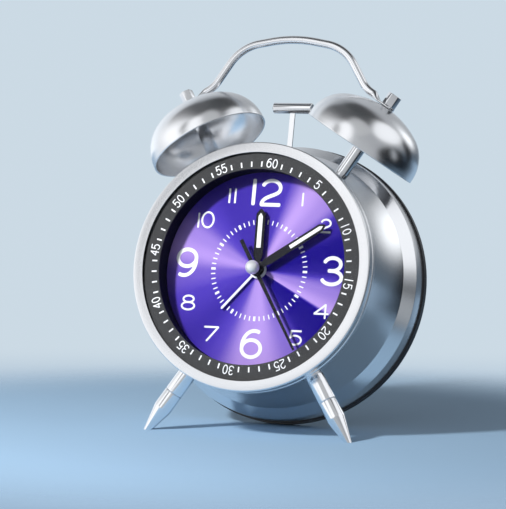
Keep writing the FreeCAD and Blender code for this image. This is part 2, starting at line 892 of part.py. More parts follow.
def make_rear_cover():
    edge = sheet.rim_round
    skirt = sheet.flare_radius - sheet.sheet - sheet.skirt_gap
    low = sheet.battery_height - bay_half_height
    high = sheet.battery_height + bay_half_height
    cover = Body("rear_cover_blank").turn(
        "XY",
        [
            (0, panel_front),
            (skirt, panel_front),
            (skirt, sheet.case_depth),
            (sheet.rim_radius, sheet.case_depth),
            (sheet.rim_radius, rim_rear - edge, edge),
            (sheet.rim_radius - edge, rim_rear),
            (rim_inner + edge, rim_rear, edge),
            (rim_inner, rim_rear - edge),
            (rim_inner, panel_rear),
            (0, panel_rear),
        ],
    )
    # The battery bay is a box hung from the panel; its end walls carry the door.
    cover.pad(
        "XZ",
        bay_floor - sheet.bay_wall,
        panel_front - bay_floor + sheet.bay_wall,
        box(
            -bay_half_length - sheet.door_ledge,
            bay_half_length + sheet.door_ledge,
            low - sheet.bay_wall,
            high + sheet.bay_wall,
        ),
    )
    cover.pocket(
        "XZ",
        bay_floor,
        panel_rear - bay_floor + 1,
        box(-bay_half_length, bay_half_length, low, high),
    )
    cover.pocket(
        "XZ",
        door_face,
        sheet.door_thickness + 1,
        box(
            -bay_half_length - sheet.door_ledge,
            bay_half_length + sheet.door_ledge,
            low,
            high,
        ),
    )
    # Four bosses press the movement forward against the dial.
    for x, z in boss_places():
        cover.pad(
            "XZ",
            sheet.movement_depth,
            panel_front - sheet.movement_depth,
            Round(x, z, sheet.boss_radius),
        )
    for side in (-1, 1):
        cover.pad(
            "XZ",
            switch_board_rear,
            panel_front - switch_board_rear,
            Round(side * switch_boss_across, sheet.switch_height, 1.4),
        )
    through = panel_front - 1
    long_way = sheet.panel_thickness + 2
    for side in (-1, 1):
        cover.pocket(
            "XZ",
            through,
            long_way,
            Round(side * sheet.knob_distance, 0, sheet.shaft_radius + sheet.hole_clearance),
        )
    for x, z in cover_screw_places():
        hole = sheet.cover_screw_radius + sheet.hole_clearance
        cover.pocket("XZ", through, long_way, Round(x, z, hole))
    half_slot = (sheet.switch_cap_length + sheet.switch_travel) / 2 + sheet.switch_play
    half_width = sheet.switch_cap_width / 2 + sheet.switch_play
    cover.pocket(
        "XZ",
        through,
        long_way,
        box(
            -half_slot,
            half_slot,
            sheet.switch_height - half_width,
            sheet.switch_height + half_width,
        ),
    )
    joined("Cut", "rear_cover", cover.tool(), floor_block("rim_floor"))


def boss_places():
    across = sheet.movement_half - 2 * sheet.boss_radius
    low = sheet.battery_height + bay_half_height + sheet.bay_wall + 2 * sheet.boss_radius
    high = sheet.movement_half / 2 - sheet.boss_radius
    return [(side * across, z) for side in (-1, 1) for z in (low, high)]


def floor_block(name):
    """The space under the table top, which cuts the feet and the rear rim flat."""
    ground = document.addObject("Part::Box", name)
    size = 4 * sheet.bezel_radius
    bind(ground, "Length", size)
    bind(ground, "Width", size)
    bind(ground, "Height", sheet.bezel_radius)
    stand = placed(0, 0, 0, (1, 0, 0), -lean)
    under = placed(-size / 2, -size / 2, -rest_height - sheet.bezel_radius)
    ground.Placement = stand.inverse().multiply(under)
    return ground


# Bells, posts, nuts and handle


def make_bells():
    rim = sheet.bell_rim_distance
    top = rim + sheet.bell_height
    shoulder_across = sheet.bell_rim_radius - sheet.bell_shoulder
    shoulder_centre = rim + sheet.bell_straight
    crown_rise = sheet.bell_height - sheet.bell_straight - sheet.bell_shoulder
    crown_drop = (shoulder_across * shoulder_across - crown_rise * crown_rise) / (2 * crown_rise)
    crown = sheet.bell_height - sheet.bell_straight + crown_drop
    # The crown's arc meets the shoulder's arc where both centres and the point are in line.
    reach = root(shoulder_across * shoulder_across + crown_drop * crown_drop)
    meet_x = shoulder_across + sheet.bell_shoulder * shoulder_across / reach
    meet_z = shoulder_centre + sheet.bell_shoulder * crown_drop / reach
    inner = sheet.bell_shoulder - sheet.bell_sheet
    inner_x = shoulder_across + inner * shoulder_across / reach
    inner_z = shoulder_centre + inner * crown_drop / reach
    hole = sheet.stud_radius + sheet.hole_clearance
    crown_centre = top - crown

    def crown_height(radius):
        return crown_centre + root(radius * radius - hole * hole)

    for side, name in ((-1, "left"), (1, "right")):
        place = radial(side * sheet.bell_angle, sheet.bell_plane_depth)
        Body(name + "_bell").turn(
            "XZ",
            [
                (sheet.bell_rim_radius - sheet.bell_sheet, rim),
                (sheet.bell_rim_radius, rim),
                (sheet.bell_rim_radius, shoulder_centre, sheet.bell_shoulder),
                (meet_x, meet_z, crown),
                (hole, crown_height(crown)),
                (hole, crown_height(crown - sheet.bell_sheet), sheet.bell_sheet - crown),
                (inner_x, inner_z, -inner),
                (sheet.bell_rim_radius - sheet.bell_sheet, shoulder_centre),
            ],
        ).done(place)

        inner_crown = crown - sheet.bell_sheet
        seat = crown_centre + root(
            inner_crown * inner_crown - sheet.post_radius * sheet.post_radius
        )
        inside = nut_face - sheet.post_nut_length
        stud_end = top + sheet.tab_thickness + sheet.nut_length - 0.6
        post = Body(name + "_bell_post_blank").turn(
            "XZ",
            [
                (0, inside),
                (sheet.stud_radius, inside),
                (sheet.stud_radius, post_start),
                (sheet.post_radius, post_start),
                (sheet.post_radius, seat),
                (sheet.stud_radius, seat),
                (sheet.stud_radius, stud_end),
                (0, stud_end),
            ],
        )
        bore = document.addObject("Part::Cylinder", name + "_stud_way")
        bind(bore, "Radius", sheet.stud_radius)
        bind(bore, "Height", sheet.bell_rim_distance)
        bore.Placement = place
        ring = document.addObject("Part::Cut", name + "_post_seat")
        ring.Base = core_copy(name + "_post_trim")
        ring.Tool = bore
        joined("Cut", name + "_bell_post", post.tool(place), ring)

    def nuts(label, start, length):
        solids = []
        for side in (-1, 1):
            across = float(sheet.nut_across_flats) / math.sqrt(3)
            corners = [
                vector(
                    across * math.cos(math.radians(60 * k)),
                    across * math.sin(math.radians(60 * k)),
                    float(start),
                )
                for k in range(7)
            ]
            solid = Part.Face(Part.makePolygon(corners)).extrude(vector(0, 0, length))
            bore = Part.makeCylinder(
                float(sheet.stud_radius + sheet.thread_clearance), 40, vector(0, 0, start - 20)
            )
            solid = solid.cut(bore)
            solid.Placement = radial(side * sheet.bell_angle, sheet.bell_plane_depth)
            solids.append(solid)
        shaped(label, Part.makeCompound(solids))

    nuts("bell_nuts", top + sheet.tab_thickness, sheet.nut_length)
    nuts("post_nuts", nut_face - sheet.post_nut_length, sheet.post_nut_length)


def bent_wire(points, radii, radius):
    """A round wire of straight runs between points, joined by tangent bends."""
    radius = float(radius)
    lengths = []
    here = points[0]
    for index in range(1, len(points) - 1):
        corner = points[index]
        heading = (corner - points[index - 1]).normalize()
        onward = (points[index + 1] - corner).normalize()
        turn = heading.getAngle(onward)
        bend_radius = float(radii[index - 1])
        start = corner - heading * (bend_radius * math.tan(turn / 2))
        axis = heading.cross(onward).normalize()
        centre = start + axis.cross(heading) * bend_radius
        section = Part.Face(Part.Wire(Part.makeCircle(radius, start, heading)))
        lengths.append(Part.makeCylinder(radius, (start - here).Length, here, heading))
        lengths.append(section.revolve(centre, axis, math.degrees(turn)))
        here = corner + onward * (bend_radius * math.tan(turn / 2))
    last = points[-1] - here
    lengths.append(Part.makeCylinder(radius, last.Length, here, last))
    return lengths[0].fuse(lengths[1:]).removeSplitter()


def make_handle():
    """A bent wire whose flattened ends lie on the bells, under the nuts."""
    top = sheet.bell_rim_distance + sheet.bell_height
    depth = sheet.bell_plane_depth
    out_x, out_z = polar(as_size(1), sheet.bell_angle)
    wire_height = top + sheet.handle_wire_radius

    def beside_stud(distance):
        """A point over the bell, this far from the stud towards the other bell."""
        return (
            wire_height * out_x - distance * out_z,
            wire_height * out_z + distance * out_x,
        )

    corner = (
        wire_height * out_x - sheet.handle_corner_inset,
        sheet.handle_top - sheet.handle_corner_drop,
    )
    half = [
        beside_stud(sheet.tab_wire_distance),
        beside_stud(sheet.handle_ankle_distance),
        corner,
    ]
    peak = [(0, sheet.handle_top + sheet.handle_crown_peak)]
    turns = [sheet.handle_ankle_radius, sheet.handle_corner_radius]
    points = [(-x, z) for x, z in half] + peak + half[::-1]
    radii = turns + [sheet.handle_crown_radius] + turns[::-1]
    route = [vector(x, depth, z) for x, z in points]
    solid = bent_wire(route, radii, sheet.handle_wire_radius)
    for side in (-1, 1):
        tab = Part.makeBox(
            float(sheet.tab_length),
            float(sheet.tab_width),
            float(sheet.tab_thickness),
            vector(-sheet.tab_length, -sheet.tab_width / 2, 0),
        )
        end = Part.makeCylinder(float(sheet.tab_width) / 2, float(sheet.tab_thickness))
        hole = Part.makeCylinder(float(sheet.stud_radius + sheet.hole_clearance), 20)
        hole.translate(FreeCAD.Vector(0, 0, -10))
        tab = tab.fuse(end)
        if side < 0:
            tab.rotate(FreeCAD.Vector(), FreeCAD.Vector(0, 0, 1), 180)
            hole.rotate(FreeCAD.Vector(), FreeCAD.Vector(0, 0, 1), 180)
        turned = radial(side * sheet.bell_angle, depth)
        lifted = turned.multiply(placed(0, 0, top))
        tab.Placement = lifted.multiply(tab.Placement)
        hole.Placement = lifted.multiply(hole.Placement)
        solid = solid.fuse(tab).cut(hole)
    shaped("handle", solid.removeSplitter())


# Legs and feet


def make_legs():
    tip = sheet.leg_tip_distance
    seam = tip - sheet.leg_seam
    cone = tip - sheet.leg_cone_length
    edge = sheet.leg_edge
    bore = sheet.leg_screw_radius + sheet.thread_clearance
    bore_end = leg_seat + sheet.leg_screw_reach + 1
    for side, name in ((-1, "left"), (1, "right")):
        place = radial(180 - side * sheet.leg_angle, sheet.leg_plane_depth)
        leg = Body(name + "_leg_blank").turn(
            "XZ",
            [
                (bore, leg_seat - 2),
                (sheet.leg_radius, leg_seat - 2),
                (sheet.leg_radius, seam - edge),
                (sheet.leg_radius - edge, seam),
                (0, seam),
                (0, bore_end),
                (bore, bore_end),
            ],
        )
        joined("Cut", name + "_leg", leg.tool(place), core_copy(name + "_leg_trim"))
        # The cone runs on past its tip so that the table plane cuts a whole flat.
        slope = (sheet.leg_radius - sheet.leg_tip_radius) / sheet.leg_cone_length
        extra = sheet.leg_tip_radius
        foot = Body(name + "_foot_blank").turn(
            "XZ",
            [
                (0, seam),
                (sheet.leg_radius - edge, seam),
                (sheet.leg_radius, seam + edge),
                (sheet.leg_radius, cone),
                (sheet.leg_tip_radius - extra * slope, tip + extra),
                (0, tip + extra),
            ],
        )
        joined("Cut", name + "_foot", foot.tool(place), floor_block(name + "_foot_floor"))

    screws = []
    head_face = (
        case_radius(sheet.leg_plane_depth - sheet.leg_screw_head_radius) - sheet.sheet - 0.05
    )
    for side in (-1, 1):
        shank = Part.makeCylinder(
            float(sheet.leg_screw_radius),
            float(leg_seat + sheet.leg_screw_reach - head_face),
            vector(0, 0, head_face),
        )
        head = Part.makeCylinder(
            float(sheet.leg_screw_head_radius),
            float(sheet.leg_screw_head_length),
            vector(0, 0, head_face - sheet.leg_screw_head_length),
        )
        screw = shank.fuse(head)
        screw.Placement = radial(180 - side * sheet.leg_angle, sheet.leg_plane_depth)
        screws.append(screw)
    shaped("leg_screws", Part.makeCompound(screws))


def core_copy(name):
    """The space inside the case's outer surface, which trims what seats on it."""
    return Body(name).turn(
        "XY", [(0, neck_face)] + case_outline() + [(0, sheet.case_depth)]
    ).tool()


# Hammer and the electric striker that swings it


def make_striker():
    across = sheet.hammer_across
    pin_z = sheet.hammer_pin_height
    depth = sheet.bell_plane_depth
    bore = sheet.hammer_pin_radius + sheet.pin_clearance
    half_arm = sheet.hammer_arm_thickness / 2
    hub_rear = sheet.movement_depth - sheet.seat_clearance
    hub_front = depth - half_arm - 1
    arm_top = sheet.hammer_head_height

    arm = Body("hammer_arm").pad(
        "XZ", hub_front, hub_rear - hub_front, Round(across, pin_z, sheet.hammer_hub_radius)
    )
    arm.pad(
        "XZ",
        depth - half_arm,
        sheet.hammer_arm_thickness,
        box(
            across - sheet.hammer_arm_width / 2,
            across + sheet.hammer_arm_width / 2,
            pin_z,
            arm_top,
        ),
    )
    arm.pocket("XZ", hub_front - 1, hub_rear - hub_front + 2, Round(across, pin_z, bore))
    arm.done()

    armature_right = across - sheet.hammer_arm_width / 2
    low = sheet.armature_height - sheet.armature_length / 2
    Body("hammer_armature").pad(
        "XZ",
        depth - sheet.armature_width / 2,
        sheet.armature_width,
        box(
            armature_right - sheet.armature_thickness,
            armature_right,
            low,
            low + sheet.armature_length,
        ),
    ).done()

    # The head is a cross cylinder with a slot that takes the end of the strip.
    edge = sheet.hammer_head_edge
    half = sheet.hammer_head_length / 2
    radius = sheet.hammer_head_radius
    slot = sheet.hammer_arm_width / 2 + sheet.pin_clearance
    head = Body("hammer_head").turn(
        "XZ",
        [
            (0, -half),
            (radius - edge, -half),
            (radius, edge - half),
            (radius, half - edge),
            (radius - edge, half),
            (0, half),
        ],
    )
    slot_half = half_arm + sheet.pin_clearance
    head.pocket(
        "YZ",
        0,
        radius + 1,
        box(-slot_half, slot_half, -slot, slot),
    )
    turned = placed(across, depth, arm_top, (0, 1, 0), 90)
    head.done(turned)

    # Core and coil lie across, left of the armature.
    core_face = armature_right - sheet.armature_thickness - sheet.striker_gap
    core_start = core_face - sheet.striker_core_length
    height = sheet.armature_height

    def lying(label, outline):
        return Body(label).turn("XZ", outline).done(placed(0, depth, height, (0, 1, 0), 90))

    core = sheet.striker_core_radius
    lying(
        "striker_core",
        [(0, core_start), (core, core_start), (core, core_face), (0, core_face)],
    )
    coil_end = core_face - 2
    coil_start = coil_end - sheet.striker_coil_length
    wound = sheet.striker_coil_radius
    flange = wound + 0.3
    lying(
        "striker_coil",
        [
            (core + sheet.pin_clearance, coil_start),
            (flange, coil_start),
            (flange, coil_start + 0.8),
            (wound, coil_start + 0.8),
            (wound, coil_end - 0.8),
            (flange, coil_end - 0.8),
            (flange, coil_end),
            (core + sheet.pin_clearance, coil_end),
        ],
    )

    plate = sheet.movement_depth
    ear = sheet.striker_plate_thickness
    bracket_left = core_start - ear
    bracket_right = across + sheet.hammer_hub_radius + 3
    bracket_low = sheet.movement_half / 2 + 2
    bracket = Body("striker_bracket").pad(
        "XZ",
        plate,
        ear,
        box(bracket_left, bracket_right, bracket_low, height + sheet.armature_length),
    )
    bracket.pad(
        "YZ",
        bracket_left,
        ear,
        box(
            depth - sheet.striker_coil_radius,
            plate,
            height - sheet.armature_length / 2,
            height + sheet.armature_length / 2,
        ),
    )
    for x, z in striker_screw_places():
        hole = sheet.movement_screw_radius + sheet.hole_clearance
        bracket.pocket("XZ", plate - 1, ear + 2, Round(x, z, hole))
    pin_hole = sheet.hammer_pin_radius + sheet.pin_clearance
    bracket.pocket("XZ", plate - 1, ear + 2, Round(across, pin_z, pin_hole))
    bracket.done()

    head_length = 0.8
    pin = rod(sheet.hammer_pin_radius, hub_front, plate + ear - hub_front, across, pin_z)
    gap = sheet.seat_clearance
    cap = rod(
        sheet.hammer_pin_radius + 0.8, hub_front - gap - head_length, head_length, across, pin_z
    )
    neck = rod(sheet.hammer_pin_radius, hub_front - gap, gap, across, pin_z)
    shaped("hammer_pin", pin.fuse(neck).fuse(cap).removeSplitter())

    # A return spring wound round the hub, behind the arm.
    coil_radius = sheet.hammer_hub_radius + sheet.seat_clearance + sheet.spring_wire_radius
    turns = SIZES["spring_turns"]
    run = float(hub_rear - depth - half_arm) - 2 * SIZES["spring_wire_radius"] - 0.3
    shaped(
        "hammer_spring",
        wound_wire(coil_radius, run / turns, turns, sheet.spring_wire_radius),
        placed(
            across,
            float(depth + half_arm + sheet.spring_wire_radius) + 0.15,
            pin_z,
            (1, 0, 0),
            -90,
        ),
    )
    striker_screws = [
        screw_solid(
            sheet.movement_screw_radius,
            sheet.movement_screw_head_radius,
            sheet.movement_screw_head_length,
            plate + ear,
            ear + sheet.movement_wall,
            x,
            z,
        )
        for x, z in striker_screw_places()
    ]
    shaped("striker_screws", Part.makeCompound(striker_screws))


def striker_screw_places():
    height = sheet.movement_half - 6
    return [(-sheet.movement_half / 2, height), (sheet.hammer_across + 1.5, height)]


def wound_wire(radius, pitch, turns, wire):
    """A wire wound round its own z axis, in short straight lengths with eight sides."""
    steps = 16
    sides = 8
    up = vector(0, 0, 1)
    rings = []
    for step in range(steps * int(turns) + 1):
        angle = 2 * math.pi * step / steps
        out = vector(math.cos(angle), math.sin(angle), 0)
        middle = out * float(radius) + up * (float(pitch) * step / steps)
        turned = [2 * math.pi * (side + 0.5) / sides for side in range(sides)]
        points = [
            middle + out * (float(wire) * math.cos(turn)) + up * (float(wire) * math.sin(turn))
            for turn in turned
        ]
        rings.append(Part.makePolygon(points + points[:1]))
    return Part.makeLoft(rings, True, True)


def screw_solid(radius, head_radius, head_length, face, reach, x, z):
    """A pan-head screw along y whose head lies on a face and whose shank points forward."""
    shank = rod(radius, face - reach, reach, x, z)
    head = rod(head_radius, face, head_length, x, z)
    driver = block(
        x - head_radius * 0.6,
        x + head_radius * 0.6,
        face + head_length * 0.5,
        face + head_length + 1,
        z - head_radius * 0.14,
        z + head_radius * 0.14,
    )
    turned = driver.copy()
    turned.rotate(vector(x, 0, z), FreeCAD.Vector(0, 1, 0), 90)
    return shank.fuse(head).cut(driver).cut(turned).removeSplitter()


# Movement: plates, wheels, motor and electronics


def toothed(wheel, module, tooth_angle, start, thickness, place=(0, 0)):
    """A toothed disc with involute flanks in straight steps; one tooth is centred at tooth_angle.

    Angles run clockwise from the top, as seen from the front.
    """
    teeth = TEETH[wheel]
    module = float(module)
    x, z = float(place[0]), float(place[1])
    pressure = math.radians(PRESSURE_ANGLE)
    pitch_radius = module * teeth / 2
    base = pitch_radius * math.cos(pressure)
    tip = pitch_radius + TOOTH_TIP * module
    foot = pitch_radius - TOOTH_FOOT * module

    def half_tooth(radius):
        slant = math.acos(min(1.0, base / max(radius, base)))
        grow = math.tan(pressure) - pressure - math.tan(slant) + slant
        return math.pi * TOOTH_SHARE / teeth + grow

    radii = [foot, pitch_radius, (pitch_radius + tip) / 2, tip]
    if base > foot:
        radii.insert(1, base)
    points = []
    for tooth in range(teeth):
        centre = math.radians(float(tooth_angle)) + 2 * math.pi * tooth / teeth
        flank = [(radius, centre - half_tooth(radius)) for radius in radii]
        flank += [(radius, centre + half_tooth(radius)) for radius in reversed(radii)]
        points += [
            vector(x + radius * math.sin(angle), start, z + radius * math.cos(angle))
            for radius, angle in flank
        ]
    face = Part.Face(Part.makePolygon(points + points[:1]))
    return face.extrude(vector(0, thickness, 0))


def meshed(tooth_angle, wheel, direction, other):
    """The tooth angle of a second wheel that meshes with the first one in this direction."""
    ratio = TEETH[wheel] / TEETH[other]
    return direction + 180 + 180 / TEETH[other] - ratio * (tooth_angle - direction)


def make_train():
    thick = sheet.wheel_thickness
    coarse = sheet.tooth_module
    fine = sheet.fine_module
    middle = sheet.minute_module
    rear_end = sheet.movement_depth - sheet.movement_wall / 2
    arbor_start = plate_face + sheet.end_play

    def pinion_place(before, after):
        """Start and length of a pinion that reaches from over one wheel's plane to the next."""
        start = before - sheet.pinion_overlap
        return start, after - start

    def on_arbor(label, start, place, *toothings):
        solid = rod(sheet.arbor_radius, start, rear_end - start, *place)
        for name, module, angle, face, length in toothings:
            solid = solid.fuse(toothed(name, module, angle, face, length, place))
        return label, solid

    def on_pipe(label, radius, bore, tip, last, *toothings):
        end = last + thick
        solid = rod(radius, tip, end - tip)
        for name, module, angle, face in toothings:
            solid = solid.fuse(toothed(name, module, angle, face, thick))
        shaped(label, solid.cut(rod(bore + sheet.pipe_clearance, 0, rear_end)).removeSplitter())

    # The arbor of the second wheel runs through the pipes to the second hand.
    start, length = pinion_place(sheet.third_wheel_depth, sheet.second_wheel_depth)
    label, solid = on_arbor(
        "second_wheel",
        sheet.second_hand_depth,
        (0, 0),
        ("second_wheel", fine, 0, sheet.second_wheel_depth, thick),
        ("second_pinion", fine, 0, start, length),
    )
    shaped(label, solid.removeSplitter())

    third_angle = meshed(0, "second_pinion", third_direction, "third_wheel")
    start, length = pinion_place(sheet.centre_wheel_depth, sheet.third_wheel_depth)
    label, solid = on_arbor(
        "third_wheel",
        arbor_start,
        third_place,
        ("third_wheel", fine, third_angle, sheet.third_wheel_depth, thick),
        ("third_pinion", middle, 0, start, length),
    )
    shaped(label, solid.removeSplitter())

    # Centre wheel, cannon pinion and the pipe that carries the minute hand; then the pipes of
    # the hour and the alarm hand, one round the other.
    centre_angle = meshed(0, "third_pinion", third_direction + 180, "centre_wheel")
    on_pipe(
        "centre_wheel",
        minute_pipe_radius,
        sheet.arbor_radius,
        sheet.minute_hand_depth,
        sheet.centre_wheel_depth,
        ("centre_wheel", middle, centre_angle, sheet.centre_wheel_depth),
        ("cannon_pinion", coarse, 0, sheet.cannon_depth),
    )
    hour_angle = meshed(0, "minute_pinion", 270, "hour_wheel")
    on_pipe(
        "hour_wheel",
        hour_pipe_radius,
        minute_pipe_radius,
        sheet.hour_hand_depth,
        sheet.hour_wheel_depth,
        ("hour_wheel", coarse, hour_angle, sheet.hour_wheel_depth),
    )
    on_pipe(
        "alarm_wheel",
        alarm_pipe_radius,
        hour_pipe_radius,
        sheet.alarm_hand_depth,
        sheet.alarm_wheel_depth,
        ("alarm_wheel", coarse, 0, sheet.alarm_wheel_depth),
    )

    # Both setting wheels sit on their knobs' shafts.
    knob = (sheet.knob_distance, 0)
    minute_angle = meshed(0, "cannon_pinion", 90, "minute_wheel")
    start, length = pinion_place(sheet.hour_wheel_depth, sheet.cannon_depth)
    setting = toothed("minute_wheel", coarse, minute_angle, sheet.cannon_depth, thick, knob)
    setting = setting.fuse(toothed("minute_pinion", coarse, 0, start, length, knob))
    way = rod(sheet.shaft_radius, 0, rear_end, *knob)
    shaped("minute_wheel", setting.cut(way).removeSplitter())
    knob = (-sheet.knob_distance, 0)
    alarm_angle = meshed(0, "alarm_wheel", 270, "alarm_pinion")
    setting = toothed("alarm_pinion", coarse, alarm_angle, sheet.alarm_wheel_depth, thick, knob)
    way = rod(sheet.shaft_radius, 0, rear_end, *knob)
    shaped("alarm_pinion", setting.cut(way).removeSplitter())

    fifth_angle = meshed(0, "second_wheel", fifth_direction, "fifth_pinion")
    start, length = pinion_place(sheet.second_wheel_depth, sheet.fifth_wheel_depth)
    label, solid = on_arbor(
        "fifth_wheel",
        arbor_start,
        fifth_place,
        ("fifth_wheel", fine, 0, sheet.fifth_wheel_depth, thick),
        ("fifth_pinion", fine, fifth_angle, start, length),
    )
    shaped(label, solid.removeSplitter())

    rotor_angle = meshed(0, "fifth_wheel", rotor_direction, "rotor_pinion")
    start, length = pinion_place(sheet.fifth_wheel_depth, sheet.rotor_magnet_depth)
    label, solid = on_arbor(
        "motor_rotor",
        arbor_start,
        rotor_place,
        ("rotor_pinion", fine, rotor_angle, start, length),
    )
    magnet = rod(
        sheet.rotor_magnet_radius,
        sheet.rotor_magnet_depth,
        sheet.rotor_magnet_length,
        *rotor_place,
    )
    shaped(label, solid.fuse(magnet).removeSplitter())


def make_movement():
    half = sheet.movement_half
    place = sheet.movement_screw_place
    bearing = sheet.arbor_radius + sheet.bearing_clearance
    shaft_hole = sheet.shaft_radius + sheet.bearing_clearance
    knob = sheet.knob_distance
    rotor_x, rotor_z = rotor_place
    corners = [(x * place, z * place) for x in (-1, 1) for z in (-1, 1)]
    arbors = [third_place, fifth_place, rotor_place]

    front = Body("movement_front_plate").pad(
        "XZ",
        plate_face,
        sheet.movement_plate,
        box(-half, half, -half, half),
        Round(0, 0, alarm_pipe_radius + sheet.pipe_clearance),
        *[Round(x, z, bearing) for x, z in arbors],
        *[Round(side * knob, 0, shaft_hole) for side in (-1, 1)],
        *[Round(x, z, sheet.movement_screw_radius + sheet.thread_clearance) for x, z in corners],
    )
    front.done()

    inner = half - sheet.movement_wall
    rear = sheet.movement_depth - sheet.movement_wall
    housing = Body("movement_housing").pad(
        "XZ",
        housing_face,
        sheet.movement_depth - housing_face,
        box(-half, half, -half, half),
    )
    housing.pocket("XZ", housing_face, rear - housing_face, box(-inner, inner, -inner, inner))
    for x, z in corners:
        housing.pad("XZ", housing_face, rear - housing_face, Round(x, z, sheet.movement_column_radius))
    housing.pocket(
        "XZ",
        housing_face - 1,
        sheet.movement_depth - housing_face + 2,
        *[Round(x, z, sheet.movement_screw_radius + sheet.thread_clearance) for x, z in corners],
    )
    housing.pocket(
        "XZ",
        rear - 1,
        sheet.movement_wall + 2,
        *[Round(side * knob, 0, shaft_hole) for side in (-1, 1)],
        *[
            Round(x, z, sheet.movement_screw_radius + sheet.thread_clearance)
            for x, z in striker_screw_places()
        ],
    )
    housing.pocket(
        "XZ",
        rear - 0.5,
        sheet.movement_wall / 2 + 0.5 + sheet.bearing_clearance,
        Round(0, 0, bearing),
        *[Round(x, z, bearing) for x, z in arbors],
    )
    housing.done()

    screws = [
        screw_solid(
            sheet.movement_screw_radius,
            sheet.movement_screw_head_radius,
            sheet.movement_screw_head_length,
            sheet.movement_depth,
            sheet.movement_depth - plate_face - 0.2,
            x,
            z,
        )
        for x, z in corners
    ]
    shaped("movement_screws", Part.makeCompound(screws))

    # Stepping motor: a stator plate round the rotor, with the coil on its lower limb.
    gap = sheet.rotor_magnet_radius + sheet.rotor_gap
    stator_start = sheet.rotor_magnet_depth + 0.2
    left, right = rotor_x - 8, rotor_x + 8
    low, high = rotor_z - 9.3, rotor_z + 4
    limb_high = low + 2
    Body("motor_stator").pad(
        "XZ",
        stator_start,
        sheet.stator_thickness,
        box(left, right, low, high),
        Round(rotor_x, rotor_z, gap),
        box(left + 2, right - 2, limb_high, rotor_z - gap - 1),
    ).done()
    coil = Part.makeCylinder(
        float(sheet.motor_coil_radius),
        float(right - left) - 5,
        vector(left + 2.5, stator_start + sheet.stator_thickness / 2, low + 1),
        FreeCAD.Vector(1, 0, 0),
    )
    limb = block(
        left, right, stator_start, stator_start + sheet.stator_thickness, low, limb_high
    )
    shaped("motor_coil", coil.cut(limb))

    # Two short posts of the board's own carry it off the housing's rear wall.
    board_half = inner - sheet.board_inset
    board_top = inner - sheet.board_inset
    board_low = board_top - sheet.board_height
    board = Body("circuit_board").pad(
        "XZ",
        sheet.board_depth,
        sheet.board_thickness,
        box(-board_half, board_half, board_low, board_top),
    )
    board_rear = sheet.board_depth + sheet.board_thickness
    for side in (-1, 1):
        post_x = side * (board_half - sheet.board_edge)
        post_z = board_top - sheet.board_edge
        board.pad(
            "XZ",
            board_rear,
            rear - board_rear,
            Round(post_x, post_z, sheet.board_post_radius),
        )
    board.done()
    shaped(
        "quartz_crystal",
        Part.makeCylinder(
            float(sheet.crystal_radius),
            float(sheet.crystal_length),
            vector(
                -sheet.crystal_length,
                sheet.board_depth - sheet.crystal_radius,
                board_low + sheet.board_edge,
            ),
            FreeCAD.Vector(1, 0, 0),
        ),
    )


# Hands


def on_hand(angle, points):
    """Points given as (across, along) on a hand that points at an angle, clockwise from the top."""
    turn = math.radians(float(angle))
    return [
        (
            float(along) * math.sin(turn) + float(across) * math.cos(turn),
            float(along) * math.cos(turn) - float(across) * math.sin(turn),
        )
        for across, along in points
    ]


def hand(label, angle, start, pipe, outline):
    """A flat hand with a round boss pressed on its pipe."""
    right = [(float(x), float(y)) for x, y in outline]
    points = on_hand(angle, right + [(-x, y) for x, y in reversed(right)])
    corners = [vector(x, start, z) for x, z in points]
    blade = Part.Face(Part.makePolygon(corners + corners[:1])).extrude(
        vector(0, sheet.hand_thickness, 0)
    )
    boss = rod(pipe + 0.9, start, sheet.hand_thickness + 0.4)
    solid = blade.fuse(boss).cut(rod(pipe, start - 1, sheet.hand_thickness + 3))
    shaped(label, solid.removeSplitter())


def make_hands():
    def pencil(length, half):
        """Half the outline of a hand with a narrow neck at the hub and a pointed tip."""
        return [
            (sheet.hand_neck_half_width, 0),
            (sheet.hand_neck_half_width, sheet.hand_neck_end),
            (half, sheet.hand_neck_end + sheet.hand_shoulder_length),
            (half, length - sheet.hand_point_length),
            (sheet.hand_tip_half_width, length),
        ]

    hand(
        "hour_hand",
        sheet.hour_hand_angle,
        sheet.hour_hand_depth,
        hour_pipe_radius,
        pencil(sheet.hour_hand_length, sheet.hour_hand_width / 2),
    )
    hand(
        "minute_hand",
        sheet.minute_hand_angle,
        sheet.minute_hand_depth,
        minute_pipe_radius,
        pencil(sheet.minute_hand_length, sheet.minute_hand_width / 2),
    )
    half = sheet.alarm_hand_width / 2
    hand(
        "alarm_hand",
        sheet.alarm_hand_angle,
        sheet.alarm_hand_depth,
        alarm_pipe_radius,
        [
            (half, 0),
            (half, sheet.alarm_hand_length - half),
            (sheet.hand_tip_half_width, sheet.alarm_hand_length),
        ],
    )
    hand(
        "second_hand",
        sheet.second_hand_angle,
        sheet.second_hand_depth,
        sheet.arbor_radius,
        [
            (sheet.second_hand_width / 2, -sheet.second_hand_tail),
            (sheet.second_hand_width / 2, 0),
            (sheet.second_hand_tip_width / 2, sheet.second_hand_length),
        ],
    )
    ball = sheet.cap_radius
    centre = sheet.second_hand_depth - ball + sheet.cap_sink
    cap = Part.makeSphere(float(ball), vector(0, centre, 0))
    away = block(-ball, ball, sheet.second_hand_depth, centre + ball + 1, -ball, ball)
    shaped("second_hand_cap", cap.cut(away))


# Knobs, switch and battery


